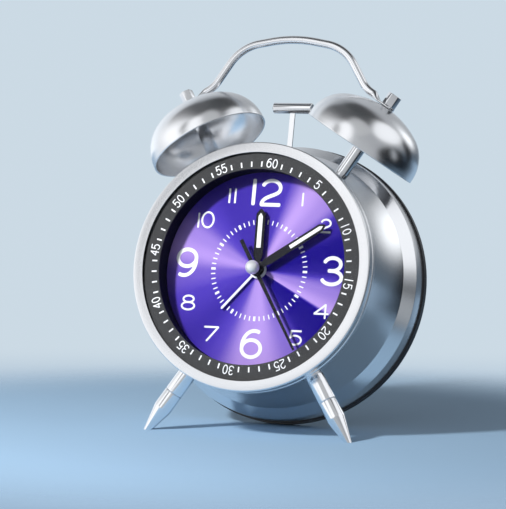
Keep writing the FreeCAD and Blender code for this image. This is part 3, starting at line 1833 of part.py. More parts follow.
def make_controls():
    start = panel_rear + sheet.knob_gap
    rear_end = start + sheet.knob_height
    for side, name in ((1, "time_knob"), (-1, "alarm_knob")):
        across = side * sheet.knob_distance
        grip = Body(name + "_grip").pad("XZ", start, sheet.knob_height, Round(0, 0, sheet.knob_radius))
        grip.pocket(
            "XZ",
            start - 1,
            sheet.knob_height + 2,
            Round(0, sheet.knob_radius, sheet.flute_radius),
        )
        grip.repeat(sheet.knob_flutes)
        shaft_start = plate_face + 0.2
        grip.pad("XZ", shaft_start, start - shaft_start, Round(0, 0, sheet.shaft_radius))
        grip.body.Label = name
        grip.done(placed(across, 0, 0))

    slide_start = panel_front - sheet.switch_play - sheet.switch_plate
    low = sheet.switch_height - sheet.switch_cap_width
    high = sheet.switch_height + sheet.switch_cap_width
    shift = sheet.switch_travel / 2
    half_cap = sheet.switch_cap_length / 2
    slider = Body("alarm_switch").pad(
        "XZ",
        slide_start,
        sheet.switch_plate,
        box(
            -shift - half_cap - sheet.switch_shoulder,
            half_cap + sheet.switch_shoulder - shift,
            low,
            high,
        ),
    )
    slider.pad(
        "XZ",
        slide_start + sheet.switch_plate,
        panel_rear + sheet.switch_cap_rise - slide_start - sheet.switch_plate,
        box(
            -shift - half_cap,
            half_cap - shift,
            sheet.switch_height - sheet.switch_cap_width / 2,
            sheet.switch_height + sheet.switch_cap_width / 2,
        ),
    )
    slider.done()
    Body("switch_contact_board").pad(
        "XZ",
        switch_board_rear - sheet.board_thickness,
        sheet.board_thickness,
        box(
            -switch_boss_across - 2,
            switch_boss_across + 2,
            sheet.switch_height - 4,
            sheet.switch_height + 4,
        ),
    ).done()

    cell = sheet.battery_radius
    centre = bay_floor + sheet.battery_play + cell
    half = sheet.battery_length / 2
    shift = bay_shift
    nub = half + sheet.battery_nub_length
    Body("battery").turn(
        "XZ",
        [
            (0, -half),
            (cell - 0.4, -half),
            (cell, 0.4 - half),
            (cell, half - 0.4),
            (cell - 0.4, half),
            (sheet.battery_nub_radius, half),
            (sheet.battery_nub_radius, nub),
            (0, nub),
        ],
    ).done(placed(shift, centre, sheet.battery_height, (0, 1, 0), 90))
    Body("battery_contact").pad(
        "YZ",
        shift + nub,
        sheet.contact_thickness,
        box(
            bay_floor + 1,
            centre + cell / 2,
            sheet.battery_height - cell / 2,
            sheet.battery_height + cell / 2,
        ),
    ).done()
    wire = sheet.battery_spring_wire
    turns = SIZES["battery_spring_turns"]
    room = bay_half_length + shift - half - 2 * (wire + sheet.spring_end_gap)
    coil = wound_wire(sheet.battery_nub_radius + 0.45, room / turns, turns, wire)
    shaped(
        "battery_spring",
        coil,
        placed(
            wire + sheet.spring_end_gap - bay_half_length,
            centre,
            sheet.battery_height,
            (0, 1, 0),
            90,
        ),
    )
    door_half = bay_half_length + sheet.door_ledge - sheet.door_gap
    door = Body("battery_door").pad(
        "XZ",
        door_face,
        sheet.door_thickness,
        box(
            -door_half,
            door_half,
            sheet.battery_height - bay_half_height + sheet.door_gap,
            sheet.battery_height + bay_half_height - sheet.door_gap,
        ),
    )
    for step in range(3):
        rib = door_half - 4 - 2 * step
        door.pad(
            "XZ",
            door_face + sheet.door_thickness,
            0.5,
            box(rib - 0.8, rib, sheet.battery_height - 4, sheet.battery_height + 4),
        )
    door.done()

    screws = [
        screw_solid(
            sheet.cover_screw_radius,
            sheet.cover_screw_head_radius,
            sheet.cover_screw_head_length,
            panel_rear,
            sheet.cover_screw_reach + sheet.panel_thickness,
            x,
            z,
        )
        for x, z in cover_screw_places()
    ]
    shaped("rear_cover_screws", Part.makeCompound(screws))


# The lean puts the foot tips and the rear rim on one plane.
foot_depth = float(sheet.leg_plane_depth)
foot_drop = float(sheet.leg_tip_distance * cosine(sheet.leg_angle))
rim_drop = float(sheet.rim_radius - sheet.rim_flat)
lean = math.degrees(math.atan2(foot_drop - rim_drop, float(rim_rear) - foot_depth))
rest_height = foot_drop * math.cos(math.radians(lean)) + foot_depth * math.sin(math.radians(lean))


def stand_up():
    """Leans every piece back and puts the origin under the middle of the whole clock."""
    leaned = placed(0, 0, 0, (1, 0, 0), -lean)
    whole = Part.makeCompound([piece.Shape for piece in pieces])
    whole.Placement = leaned
    bounds = whole.optimalBoundingBox(False)
    shift = placed(
        -(bounds.XMin + bounds.XMax) / 2, -(bounds.YMin + bounds.YMax) / 2, rest_height
    )
    stand = shift.multiply(leaned)
    for piece in pieces:
        piece.Placement = stand.multiply(piece.Placement)
    return stand


def check():
    problems = []
    for thing in document.Objects:
        if "Invalid" in thing.State or "Error" in thing.State:
            problems.append(f"{thing.Label}: {thing.State}")
    for before, after in cuts_to_check:
        if after.Shape.Volume >= before.Shape.Volume - 1e-6:
            problems.append(f"{after.Label} takes nothing away")
    for piece in pieces:
        shape = piece.Shape
        if shape.isNull() or not shape.isValid() or not shape.Solids:
            problems.append(f"{piece.Label} has no valid shape")
    if problems:
        raise ValueError("; ".join(problems))


make_front()
make_case()
make_rear_cover()
make_bells()
make_handle()
make_legs()
make_striker()
make_train()
make_movement()
make_hands()
make_controls()
document.recompute()
check()
stand = stand_up()
document.recompute()
check()

os.makedirs("parts", exist_ok=True)
for piece in pieces:
    piece.Shape.exportStep(os.path.join("parts", piece.Label + ".step"))
    print(piece.Label, len(piece.Shape.Solids), round(piece.Shape.Volume, 2))
print("lean", round(lean, 3), "rest height", round(rest_height, 3))
print("stand", stand.Base, stand.Rotation.Axis, round(math.degrees(stand.Rotation.Angle), 4))
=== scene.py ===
"""The twin bell alarm clock as it looks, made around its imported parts.

Each operator makes one piece of the clock, or one group of like pieces. The properties keep
their lengths in metres. Shapes are drawn in millimetres in the clock's own frame: x to the right,
y from the front of the bezel back into the clock, z up towards the 12, with the origin on the
dial's axis. CLOCK takes that frame, which leans back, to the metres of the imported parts.
"""

import json
import math
from types import SimpleNamespace

import bmesh
import bpy
from bpy.props import FloatProperty, FloatVectorProperty, IntProperty, PointerProperty
from bpy.types import Operator, Panel, PropertyGroup
from mathutils import Matrix, Vector

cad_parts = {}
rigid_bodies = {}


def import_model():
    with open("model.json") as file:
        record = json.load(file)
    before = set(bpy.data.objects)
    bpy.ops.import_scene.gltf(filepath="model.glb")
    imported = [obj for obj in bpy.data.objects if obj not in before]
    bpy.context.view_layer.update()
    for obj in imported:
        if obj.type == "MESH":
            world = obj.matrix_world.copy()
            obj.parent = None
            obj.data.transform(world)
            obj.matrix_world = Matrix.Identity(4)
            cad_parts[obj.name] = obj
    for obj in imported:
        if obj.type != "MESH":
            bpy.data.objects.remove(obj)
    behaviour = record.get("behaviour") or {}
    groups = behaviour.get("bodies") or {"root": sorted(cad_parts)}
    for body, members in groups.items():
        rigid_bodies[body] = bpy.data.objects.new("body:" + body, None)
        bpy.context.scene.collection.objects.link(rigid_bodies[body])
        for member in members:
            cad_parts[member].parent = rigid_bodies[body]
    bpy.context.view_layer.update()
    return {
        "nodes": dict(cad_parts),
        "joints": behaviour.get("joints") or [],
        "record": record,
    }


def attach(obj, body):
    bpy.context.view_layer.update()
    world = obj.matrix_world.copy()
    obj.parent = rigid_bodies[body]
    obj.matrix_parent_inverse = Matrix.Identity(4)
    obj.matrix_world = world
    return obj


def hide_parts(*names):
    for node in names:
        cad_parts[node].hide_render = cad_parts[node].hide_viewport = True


bl_info = {
    "name": "Twin bell alarm clock",
    "version": (1, 0, 0),
    "blender": (4, 5, 0),
    "location": "View3D > Sidebar > Clock",
    "description": "Makes a leaning twin bell alarm clock with a sunburst dial",
    "category": "Add Mesh",
}

for leftover in list(bpy.data.objects):
    bpy.data.objects.remove(leftover)
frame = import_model()

# Millimetres in a metre
PER_METRE = 1000

# The second hand's pivot lies this far behind the front of the bezel, on the dial's axis.
PIVOT_DEPTH = 20.0
hand_joint = next(joint for joint in frame["joints"] if joint["name"] == "second_hand_turn")
BACKWARDS = Vector(hand_joint["axis"]).normalized()
UPWARDS = Vector((1, 0, 0)).cross(BACKWARDS)
LEAN = Matrix((Vector((1, 0, 0)), BACKWARDS, UPWARDS)).transposed()
ORIGIN = Vector(hand_joint["pos_m"]) - BACKWARDS * PIVOT_DEPTH / PER_METRE
CLOCK = Matrix.Translation(ORIGIN) @ LEAN.to_4x4() @ Matrix.Scale(1 / PER_METRE, 4)

# Turns a piece's own z axis to point back along the dial's axis.
BACK = Matrix.Rotation(math.radians(-90), 4, "X")

ROOT = "clock"

# Steps round the turned pieces that are smaller than the case
BELL_STEPS = 160
LEG_STEPS = 72
SMALL_STEPS = 64

# The hammer's arm stands this far right of the middle.
HAMMER_ACROSS = 2.7

# Print reaches this far into what it is printed on.
PRINT_SUNK = 0.01

# Each stroke of a numeral stands this much over the one before it, so that none of their faces
# lie in one plane.
STROKE_STEP = 0.004

# A stroke's end is a cap, given by its length over the stroke's half width and by the shares of
# that length at which the cap is drawn.
CAP_LENGTH = 0.7
CAP_SHARES = (0.45, 0.8, 0.95)


# Sizes and colours


class CaseSizes(PropertyGroup):
    """Sizes of the bezel, the case and the glass."""

    bezel_radius: FloatProperty(
        name="Bezel radius", description="Outer radius of the front ring",
        default=0.053, subtype="DISTANCE",
    )
    lip_radius: FloatProperty(
        name="Lip radius", description="Radius of the opening in the bezel",
        default=0.0486, subtype="DISTANCE",
    )
    bezel_depth: FloatProperty(
        name="Bezel depth", description="Depth of the bezel from front to back",
        default=0.008, subtype="DISTANCE",
    )
    cove_radius: FloatProperty(
        name="Cove radius", description="Radius of the hollow curve of the side",
        default=0.13, subtype="DISTANCE",
    )
    sheet: FloatProperty(
        name="Sheet", description="Thickness of the case's metal",
        default=0.0007, subtype="DISTANCE",
    )
    segments: IntProperty(
        name="Segments", description="Steps round each turned piece",
        default=192, min=24, subtype="UNSIGNED",
    )


class BellSizes(PropertyGroup):
    """Sizes of the bells, of the handle over them and of the hammer between them."""

    angle: FloatProperty(
        name="Bell angle", description="Lean of each bell from the top",
        default=math.radians(31.3), subtype="ANGLE",
    )
    depth: FloatProperty(
        name="Bell depth", description="Place of the bells behind the bezel",
        default=0.0272, subtype="DISTANCE",
    )
    rim_distance: FloatProperty(
        name="Rim distance", description="From the dial's axis to a bell's rim",
        default=0.0661, subtype="DISTANCE",
    )
    rim_radius: FloatProperty(
        name="Rim radius", description="Radius of a bell at its rim",
        default=0.0263, subtype="DISTANCE",
    )
    height: FloatProperty(
        name="Bell height", description="Height of a bell over its rim",
        default=0.0209, subtype="DISTANCE",
    )
    wall: FloatProperty(
        name="Bell wall", description="Thickness of a bell", default=0.0008, subtype="DISTANCE"
    )
    wire_radius: FloatProperty(
        name="Handle wire", description="Radius of the handle's wire",
        default=0.00175, subtype="DISTANCE",
    )
    handle_top: FloatProperty(
        name="Handle top", description="Height of the handle's crown",
        default=0.1038, subtype="DISTANCE",
    )


class DialLook(PropertyGroup):
    """Sizes and colours of the dial, of its print and of the ring round it."""

    depth: FloatProperty(
        name="Dial depth", description="Place of the dial behind the bezel",
        default=0.0118, subtype="DISTANCE",
    )
    ring_depth: FloatProperty(
        name="Ring depth", description="Place of the minute ring",
        default=0.0016, subtype="DISTANCE",
    )
    ring_turn: FloatProperty(
        name="Ring turn", description="Turn of the minute ring's print",
        default=math.radians(7.1), subtype="ANGLE",
    )
    print_height: FloatProperty(
        name="Print height", description="How far the print stands up",
        default=0.00003, subtype="DISTANCE",
    )
    # The deep and bright colours are painted shade and painted highlight: the dark and light rays
    # that the brushed dial would reflect, painted into its colour.
    deep: FloatVectorProperty(
        name="Deep colour", description="Dark rays of the sunburst",
        default=(0.008, 0.002, 0.19), subtype="COLOR",
    )
    middle: FloatVectorProperty(
        name="Middle colour", description="Middle tone of the sunburst",
        default=(0.073, 0.041, 0.41), subtype="COLOR",
    )
    bright: FloatVectorProperty(
        name="Bright colour", description="Light rays of the sunburst",
        default=(0.44, 0.29, 0.70), subtype="COLOR",
    )
    ring: FloatVectorProperty(
        name="Ring colour", description="Grey of the minute ring",
        default=(0.051, 0.051, 0.053), subtype="COLOR",
    )


class MetalLook(PropertyGroup):
    """Colours of the metals and of the plastic."""

    silver: FloatVectorProperty(
        name="Silver", description="Satin and polished metal",
        default=(0.90, 0.91, 0.93), subtype="COLOR",
    )
    plastic: FloatVectorProperty(
        name="Plastic", description="Moulded back and knobs",
        default=(0.008, 0.009, 0.013), subtype="COLOR",
    )
    satin: FloatProperty(
        name="Satin roughness", description="Roughness of the satin metal",
        default=0.27, min=0, max=1, subtype="FACTOR",
    )
    polish: FloatProperty(
        name="Polish roughness", description="Roughness of the polished metal",
        default=0.13, min=0, max=1, subtype="FACTOR",
    )


class StageLook(PropertyGroup):
    """Floor, lamp and the room that the metal reflects."""

    wall: FloatVectorProperty(
        name="Wall", description="Colour of the wall behind the clock",
        default=(0.60, 0.70, 0.78), subtype="COLOR",
    )
    floor: FloatVectorProperty(
        name="Floor", description="Colour of the floor",
        default=(0.30, 0.45, 0.61), subtype="COLOR",
    )
    far_floor: FloatVectorProperty(
        name="Far floor", description="Colour of the floor far behind the clock",
        default=(0.33, 0.46, 0.61), subtype="COLOR",
    )
    floor_radius: FloatProperty(
        name="Floor radius", description="Where the floor has faded out",
        default=0.26, subtype="DISTANCE",
    )
    room_strength: FloatProperty(
        name="Room strength", description="Strength of the room's own light",
        default=1.0, min=0, max=1, subtype="FACTOR",
    )
    fill_share: FloatProperty(
        name="Fill share", description="How much of the room's light fills matt surfaces",
        default=0.65, min=0, max=1, subtype="FACTOR",
    )
    key_power: FloatProperty(
        name="Key power", description="Power of the lamp", default=4.7, unit="POWER"
    )
    key_size: FloatProperty(
        name="Key size", description="Width of the lamp", default=0.07, subtype="DISTANCE"
    )
    key_distance: FloatProperty(
        name="Key distance", description="From the clock to the lamp",
        default=0.6, subtype="DISTANCE",
    )
    key_azimuth: FloatProperty(
        name="Key azimuth", description="Lamp's turn from the front to the right",
        default=math.radians(-28), subtype="ANGLE",
    )
    key_elevation: FloatProperty(
        name="Key elevation", description="Lamp's height over the horizon",
        default=math.radians(31), subtype="ANGLE",
    )


GROUPS = {
    "clock_case": CaseSizes,
    "clock_bells": BellSizes,
    "clock_dial": DialLook,
    "clock_metal": MetalLook,
    "clock_stage": StageLook,
}


def drawing_units(group):
    """A group's values as the shapes are drawn with: lengths in mm and angles in degrees."""
    values = {}
    for name, rule in group.bl_rna.properties.items():
        if name not in ("name", "rna_type"):
            value = getattr(group, name)
            if rule.subtype == "DISTANCE":
                value = round(value * PER_METRE, 4)
            elif rule.subtype == "ANGLE":
                value = round(math.degrees(value), 4)
            values[name] = value
    return SimpleNamespace(**values)


# Shapes


def turned_to(angle, depth):
    """Places a piece whose own z axis points out from the dial's axis, clockwise from the top."""
    return Matrix.Translation((0, depth, 0)) @ Matrix.Rotation(math.radians(angle), 4, "Y")


def arc(centre_x, centre_y, radius, start, end, steps):
    """Points on an arc between two angles in degrees, counted from x towards y."""
    angles = [math.radians(start + (end - start) * step / steps) for step in range(steps + 1)]
    return [(centre_x + radius * math.cos(a), centre_y + radius * math.sin(a)) for a in angles]


def filleted(corners, closed=True, steps=4):
    """Corners given as (x, y) or, where the corner is rounded, as (x, y, radius)."""
    line = []
    for index, corner in enumerate(corners):
        here = Vector(corner[:2])
        if len(corner) < 3 or (not closed and index in (0, len(corners) - 1)):
            line.append(tuple(here))
            continue
        back = (Vector(corners[index - 1][:2]) - here).normalized()
        ahead = (Vector(corners[(index + 1) % len(corners)][:2]) - here).normalized()
        half = back.angle(ahead) / 2
        centre = here + (back + ahead).normalized() * (corner[2] / math.sin(half))
        start = here + back * (corner[2] / math.tan(half)) - centre
        end = here + ahead * (corner[2] / math.tan(half)) - centre
        turn = start.angle(end)
        for step in range(steps + 1):
            share = step / steps
            spoke = start * math.sin((1 - share) * turn) + end * math.sin(share * turn)
            line.append(tuple(centre + spoke / math.sin(turn)))
    return line


def bridged(shape, first, second):
    """Adds the faces between two rings that have the same number of points."""
    for step in range(len(first)):
        ahead = (step + 1) % len(first)
        shape.faces.new((first[step], first[ahead], second[ahead], second[step]))


def turned(profile, segments, place=Matrix(), closed=True):
    """A shape turned about the z axis of its place from (radius, height) points."""
    on_axis = 1e-6
    shape = bmesh.new()
    turns = [2 * math.pi * step / segments for step in range(segments)]
    rings = []
    for radius, height in profile:
        if radius < on_axis:
            rings.append([shape.verts.new((0, 0, height))])
            continue
        rings.append(
            [
                shape.verts.new((radius * math.cos(turn), radius * math.sin(turn), height))
                for turn in turns
            ]
        )
    pairs = list(zip(rings, rings[1:]))
    if closed:
        pairs.append((rings[-1], rings[0]))
    for first, second in pairs:
        if len(first) == 1 and len(second) == 1:
            continue
        for step in range(segments):
            corners = []
            for ring, at in ((first, step), (first, step + 1), (second, step + 1), (second, step)):
                corner = ring[at % len(ring)]
                if corner not in corners:
                    corners.append(corner)
            shape.faces.new(corners)
    bmesh.ops.recalc_face_normals(shape, faces=shape.faces)
    bmesh.ops.transform(shape, matrix=place, verts=shape.verts)
    return shape


def swept(sections):
    """A closed shape from rings of points that have the same number of points."""
    shape = bmesh.new()
    rings = [[shape.verts.new(point) for point in section] for section in sections]
    for first, second in zip(rings, rings[1:]):
        bridged(shape, first, second)
    shape.faces.new(rings[0][::-1])
    shape.faces.new(rings[-1])
    bmesh.ops.recalc_face_normals(shape, faces=shape.faces)
    return shape


def merged(*shapes):
    """One shape from several, which are used up."""
    whole = bmesh.new()
    for shape in shapes:
        mesh = bpy.data.meshes.new("part")
        shape.to_mesh(mesh)
        shape.free()
        whole.from_mesh(mesh)
        bpy.data.meshes.remove(mesh)
    return whole


def add_stroke(shape, line, half, depth, height, closed=False):
    """Adds a printed stroke of even width along a line of (x, z) points at a depth."""
    points = [Vector(point) for point in line]
    count = len(points)
    stations = []
    for index, point in enumerate(points):
        before = points[index - 1] if closed or index else point
        after = points[(index + 1) % count] if closed or index < count - 1 else point
        heading = (after - before).normalized()
        stations.append((point, heading, 1.0))
    if not closed:
        caps = []
        for (point, heading, _), way in ((stations[0], -1), (stations[-1], 1)):
            reach = heading * half * CAP_LENGTH
            widths = [(share, math.sqrt(1 - share * share)) for share in CAP_SHARES]
            caps.append([(point + reach * share * way, heading, width) for share, width in widths])
        stations = caps[0][::-1] + stations + caps[1]
    back = depth + PRINT_SUNK
    rings = []
    for point, heading, width in stations:
        across = Vector((-heading.y, heading.x)) * half * width
        left, right = point + across, point - across
        rings.append(
            [
                shape.verts.new((left.x, depth - height, left.y)),
                shape.verts.new((right.x, depth - height, right.y)),
                shape.verts.new((right.x, back, right.y)),
                shape.verts.new((left.x, back, left.y)),
            ]
        )
    pairs = list(zip(rings, rings[1:]))
    if closed:
        pairs.append((rings[-1], rings[0]))
    else:
        shape.faces.new(rings[0])
        shape.faces.new(rings[-1][::-1])
    for first, second in pairs:
        for side in range(len(first)):
            ahead = (side + 1) % len(first)
            shape.faces.new((first[ahead], first[side], second[side], second[ahead]))


def rotated_box(place, sides):
    """A box of these sides, centred on its place."""
    shape = bmesh.new()
    bmesh.ops.create_cube(shape, size=1, matrix=place @ Matrix.Diagonal((*sides, 1)))
    return shape


def helper(name, shape=None):
    """An object that is only there while a piece is made."""
    made = bpy.data.objects.new(name, bpy.data.meshes.new(name))
    bpy.context.scene.collection.objects.link(made)
    if shape is not None:
        shape.to_mesh(made.data)
        shape.free()
    return made


def worked_shape(thing):
    """The shape that an object's modifiers give."""
    ready = thing.evaluated_get(bpy.context.evaluated_depsgraph_get())
    mesh = bpy.data.meshes.new_from_object(ready)
    shape = bmesh.new()
    shape.from_mesh(mesh)
    bpy.data.meshes.remove(mesh)
    return shape


def cut(shape, *tools):
    """A shape with other shapes cut out of it. All of them are used up."""
    work = helper("work", shape)
    helpers = [helper("tool", tool) for tool in tools]
    for tool in helpers:
        modifier = work.modifiers.new("Cut", "BOOLEAN")
        modifier.operation = "DIFFERENCE"
        modifier.solver = "EXACT"
        modifier.object = tool
    ready = worked_shape(work)
    for thing in [work, *helpers]:
        bpy.data.objects.remove(thing)
    return ready


def piece(name, shape, material, body=ROOT, replaced=(), crease=35):
    """Makes a finished piece from a shape in the clock's frame."""
    bmesh.ops.transform(shape, matrix=CLOCK, verts=shape.verts)
    mesh = bpy.data.meshes.new(name)
    shape.to_mesh(mesh)
    shape.free()
    mesh.shade_smooth()
    mesh.set_sharp_from_angle(angle=math.radians(crease))
    mesh.materials.append(material)
    made = bpy.data.objects.new(name, mesh)
    bpy.context.scene.collection.objects.link(made)
    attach(made, body)
    if replaced:
        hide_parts(*replaced)


# Finishes


def node(tree, kind, inputs=None, **settings):
    """Adds a node. Inputs are numbers, colours or the sockets that feed them."""
    made = tree.nodes.new(kind if "Node" in kind else "ShaderNode" + kind)
    for word, value in settings.items():
        setattr(made, word, value)
    for word, value in (inputs or {}).items():
        socket = made.inputs[word]
        if isinstance(value, bpy.types.NodeSocket):
            tree.links.new(value, socket)
        else:
            socket.default_value = value
    return made


def formula(tree, operation, *values, **settings):
    """The result of a sum on numbers or sockets."""
    return node(tree, "Math", dict(enumerate(values)), operation=operation, **settings).outputs[0]


def surface(name, colour, metallic=0.0, roughness=0.5, **inputs):
    """A material with its Principled node set. Input words have underscores for spaces."""
    material = bpy.data.materials.new(name)
    material.use_nodes = True
    tree = material.node_tree
    shader = tree.nodes["Principled BSDF"]
    shader.inputs["Base Color"].default_value = (*colour, 1)
    shader.inputs["Metallic"].default_value = metallic
    shader.inputs["Roughness"].default_value = roughness
    for word, value in inputs.items():
        shader.inputs[word.replace("_", " ")].default_value = value
    return material, tree, shader


def place_of(tree):
    """The point on the piece, in metres."""
    return node(tree, "TexCoord").outputs["Object"]


def along(tree, vector):
    """The three parts of a vector."""
    return node(tree, "SeparateXYZ", {"Vector": vector}).outputs


def between(tree, value, low, high):
    """Maps a value from 0 to 1 to lie between two numbers."""
    return node(
        tree, "MapRange", {"Value": value, "To Min": low, "To Max": high}
    ).outputs["Result"]


def share_of(tree, value, start, end):
    """Maps a value to run from 0 to 1 between two numbers."""
    return node(
        tree, "MapRange", {"Value": value, "From Min": start, "From Max": end}
    ).outputs["Result"]


def eased(tree, value, start, end):
    """Maps a value to run softly from 0 to 1 between two numbers."""
    return node(
        tree, "MapRange", {"Value": value, "From Min": start, "From Max": end},
        interpolation_type="SMOOTHSTEP",
    ).outputs["Result"]


def ramped(tree, value, stops, interpolation="LINEAR"):
    """Colours along a value, from (place, colour) stops."""
    made = node(tree, "ValToRGB", {"Fac": value})
    made.color_ramp.interpolation = interpolation
    steps = made.color_ramp.elements
    while len(steps) > 1:
        steps.remove(steps[-1])
    (place, colour), *others = stops
    steps[0].position = place
    steps[0].color = (*colour, 1)
    for place, colour in others:
        steps.new(place).color = (*colour, 1)
    return made.outputs["Color"]


def noise(tree, where, scale, detail):
    """Soft random grey, from 0 to 1."""
    return node(
        tree, "TexNoise", {"Vector": where, "Scale": scale, "Detail": detail}
    ).outputs["Fac"]


def bumped(tree, shader, height, distance, strength):
    """Gives a shader a fine relief."""
    bump = node(tree, "Bump", {"Height": height, "Distance": distance, "Strength": strength})
    tree.links.new(bump.outputs["Normal"], shader.inputs["Normal"])


def mixed_colour(tree, share, first, second):
    """A colour between two, each given as a colour or a socket."""
    mix = node(tree, "Mix", data_type="RGBA")
    # Of the node's sockets, these are the ones that mix colours.
    share_socket, first_socket, second_socket, result_socket = 0, 6, 7, 2
    tree.links.new(share, mix.inputs[share_socket])
    for place, value in ((first_socket, first), (second_socket, second)):
        if isinstance(value, bpy.types.NodeSocket):
            tree.links.new(value, mix.inputs[place])
        else:
            mix.inputs[place].default_value = (*value, 1)
    return mix.outputs[result_socket]


def blended(tree, share, shader, other):
    """Ends a material in a mix of two shaders."""
    mix = node(tree, "MixShader", {0: share, 1: shader.outputs["BSDF"], 2: other.outputs["BSDF"]})
    tree.links.new(mix.outputs["Shader"], tree.nodes["Material Output"].inputs["Surface"])


def shaded(colour, factor):
    """A colour made lighter or darker, up to white."""
    return tuple(min(1.0, part * factor) for part in colour)


def clouded(tree, shader, colour, pattern, dark, light):
    """Varies a shader's colour by a pattern between a darker and a lighter shade of itself."""
    shades = mixed_colour(tree, pattern, shaded(colour, dark), shaded(colour, light))
    tree.links.new(shades, shader.inputs["Base Color"])


def roughened(tree, shader, pattern, low, high):
    """Varies a shader's roughness by a pattern between two numbers."""
    tree.links.new(between(tree, pattern, low, high), shader.inputs["Roughness"])


def satin_metal(name, colour, roughness, metallic=1.0):
    """Bead-blasted and plated metal: an even sheen with a very fine grain."""
    material, tree, shader = surface(name, colour, metallic=metallic)
    where = place_of(tree)
    clouded(tree, shader, colour, noise(tree, where, scale=60, detail=2), dark=0.96, light=1.03)
    grain = noise(tree, where, scale=5200, detail=2)
    roughened(tree, shader, grain, roughness - 0.05, roughness + 0.05)
    bumped(tree, shader, grain, distance=0.000012, strength=0.5)
    return material


def polished_metal(name, colour, roughness):
    """Polished and plated metal with faint wipe marks."""
    material, tree, shader = surface(name, colour, metallic=1.0)
    where = place_of(tree)
    wipes = noise(tree, where, scale=110, detail=2)
    roughened(tree, shader, wipes, roughness * 0.8, roughness * 1.2)
    clouded(tree, shader, colour, noise(tree, where, scale=90, detail=2), dark=0.95, light=1.04)
    return material


def moulded_plastic(name, colour, roughness, grain_scale, gloss):
    """Moulded plastic with a fine spark-eroded grain."""
    material, tree, shader = surface(name, colour, Specular_IOR_Level=gloss)
    where = place_of(tree)
    grain = noise(tree, where, grain_scale, detail=3)
    roughened(tree, shader, grain, roughness - 0.07, roughness + 0.09)
    clouded(tree, shader, colour, noise(tree, where, scale=45, detail=3), dark=0.85, light=1.2)
    bumped(tree, shader, grain, distance=0.00003, strength=0.45)
    return material


def sunburst(name, look):
    """Purple metal with fine lines that run out from the centre. Its four light rays and the dark
    ones between them are painted highlight and painted shade in its colour, fixed on the dial; the
    fine lines add only a faint real sheen.
    """
    material, tree, shader = surface(
        name, look.middle, roughness=0.34, Anisotropic=0.6, Specular_IOR_Level=0.1
    )
    turn, radius, _ = along(tree, node(tree, "UVMap", uv_map="Polar").outputs["UV"])
    # Angles clockwise from the 12 and how light the painted highlight makes the dial there.
    rays = [
        (0, 0.30), (14, 0.36), (30, 1.0), (44, 0.80), (57, 0.24), (72, 0.10), (88, 0.16),
        (104, 0.72), (117, 1.0), (119, 0.08), (138, 0.14), (154, 0.60), (172, 0.94),
        (186, 0.88), (204, 0.40), (222, 0.26), (248, 0.38), (266, 0.50), (283, 0.90),
        (296, 0.74), (312, 0.40), (330, 0.28), (360, 0.30),
    ]
    bright = ramped(tree, turn, [(angle / 360, (light,) * 3) for angle, light in rays], "EASE")
    # The light rays are a painted highlight and the dark rays a painted shade, mixed into the
    # dial's purple.
    low = mixed_colour(tree, between(tree, bright, -0.4, 3.0), look.deep, look.middle)
    body = mixed_colour(tree, share_of(tree, bright, 0.38, 1.0), low, look.bright)
    tree.links.new(body, shader.inputs["Base Color"])
    # Fine lines: noise that changes quickly round the dial and slowly along a ray.
    lines_round, lines_along = 260.0, 1.5
    squeezed = node(
        tree,
        "CombineXYZ",
        {
            "X": formula(tree, "MULTIPLY", turn, lines_round),
            "Y": formula(tree, "MULTIPLY", radius, lines_along),
        },
    )
    lines = noise(tree, squeezed.outputs["Vector"], scale=1.0, detail=3)
    roughened(tree, shader, lines, 0.26, 0.44)
    tangent = node(tree, "Tangent", direction_type="UV_MAP", uv_map="Polar")
    tree.links.new(tangent.outputs["Tangent"], shader.inputs["Tangent"])
    bumped(tree, shader, lines, distance=0.00001, strength=0.35)
    return material


def clear_glass(name):
    """Clear glass that lets the lamp's light through to the dial."""
    material, tree, shader = surface(
        name, (1, 1, 1), roughness=0.0, Transmission_Weight=1.0, IOR=1.08
    )
    through = node(tree, "BsdfTransparent", {"Color": (0.97, 0.98, 0.98, 1)})
    blended(tree, node(tree, "LightPath").outputs["Is Shadow Ray"], shader, through)
    return material


def wound_copper(name):
    """Lacquered wire in close turns."""
    material, tree, shader = surface(name, (0.62, 0.24, 0.09), metallic=0.9, roughness=0.3)
    # Radians of the wave in a metre, which set the pitch of the turns
    radians_per_metre = 16000.0
    across = formula(tree, "MULTIPLY", along(tree, place_of(tree))["X"], radians_per_metre)
    wave = formula(tree, "SINE", across)
    bumped(tree, shader, wave, distance=0.00008, strength=0.8)
    return material


def battery_wrap(name):
    """A plain cell: a dark printed jacket with a copper band at its positive end."""
    dark, copper, bare = (0.03, 0.03, 0.035), (0.55, 0.22, 0.07), (0.7, 0.7, 0.7)
    band_from, bare_from = 0.0115, 0.0252
    material, tree, shader = surface(name, dark, roughness=0.35)
    across = along(tree, place_of(tree))["X"]
    band = formula(tree, "GREATER_THAN", across, band_from)
    jacket = mixed_colour(tree, band, dark, copper)
    ends = formula(tree, "GREATER_THAN", across, bare_from)
    tree.links.new(mixed_colour(tree, ends, jacket, bare), shader.inputs["Base Color"])
    tree.links.new(band, shader.inputs["Metallic"])
    return material


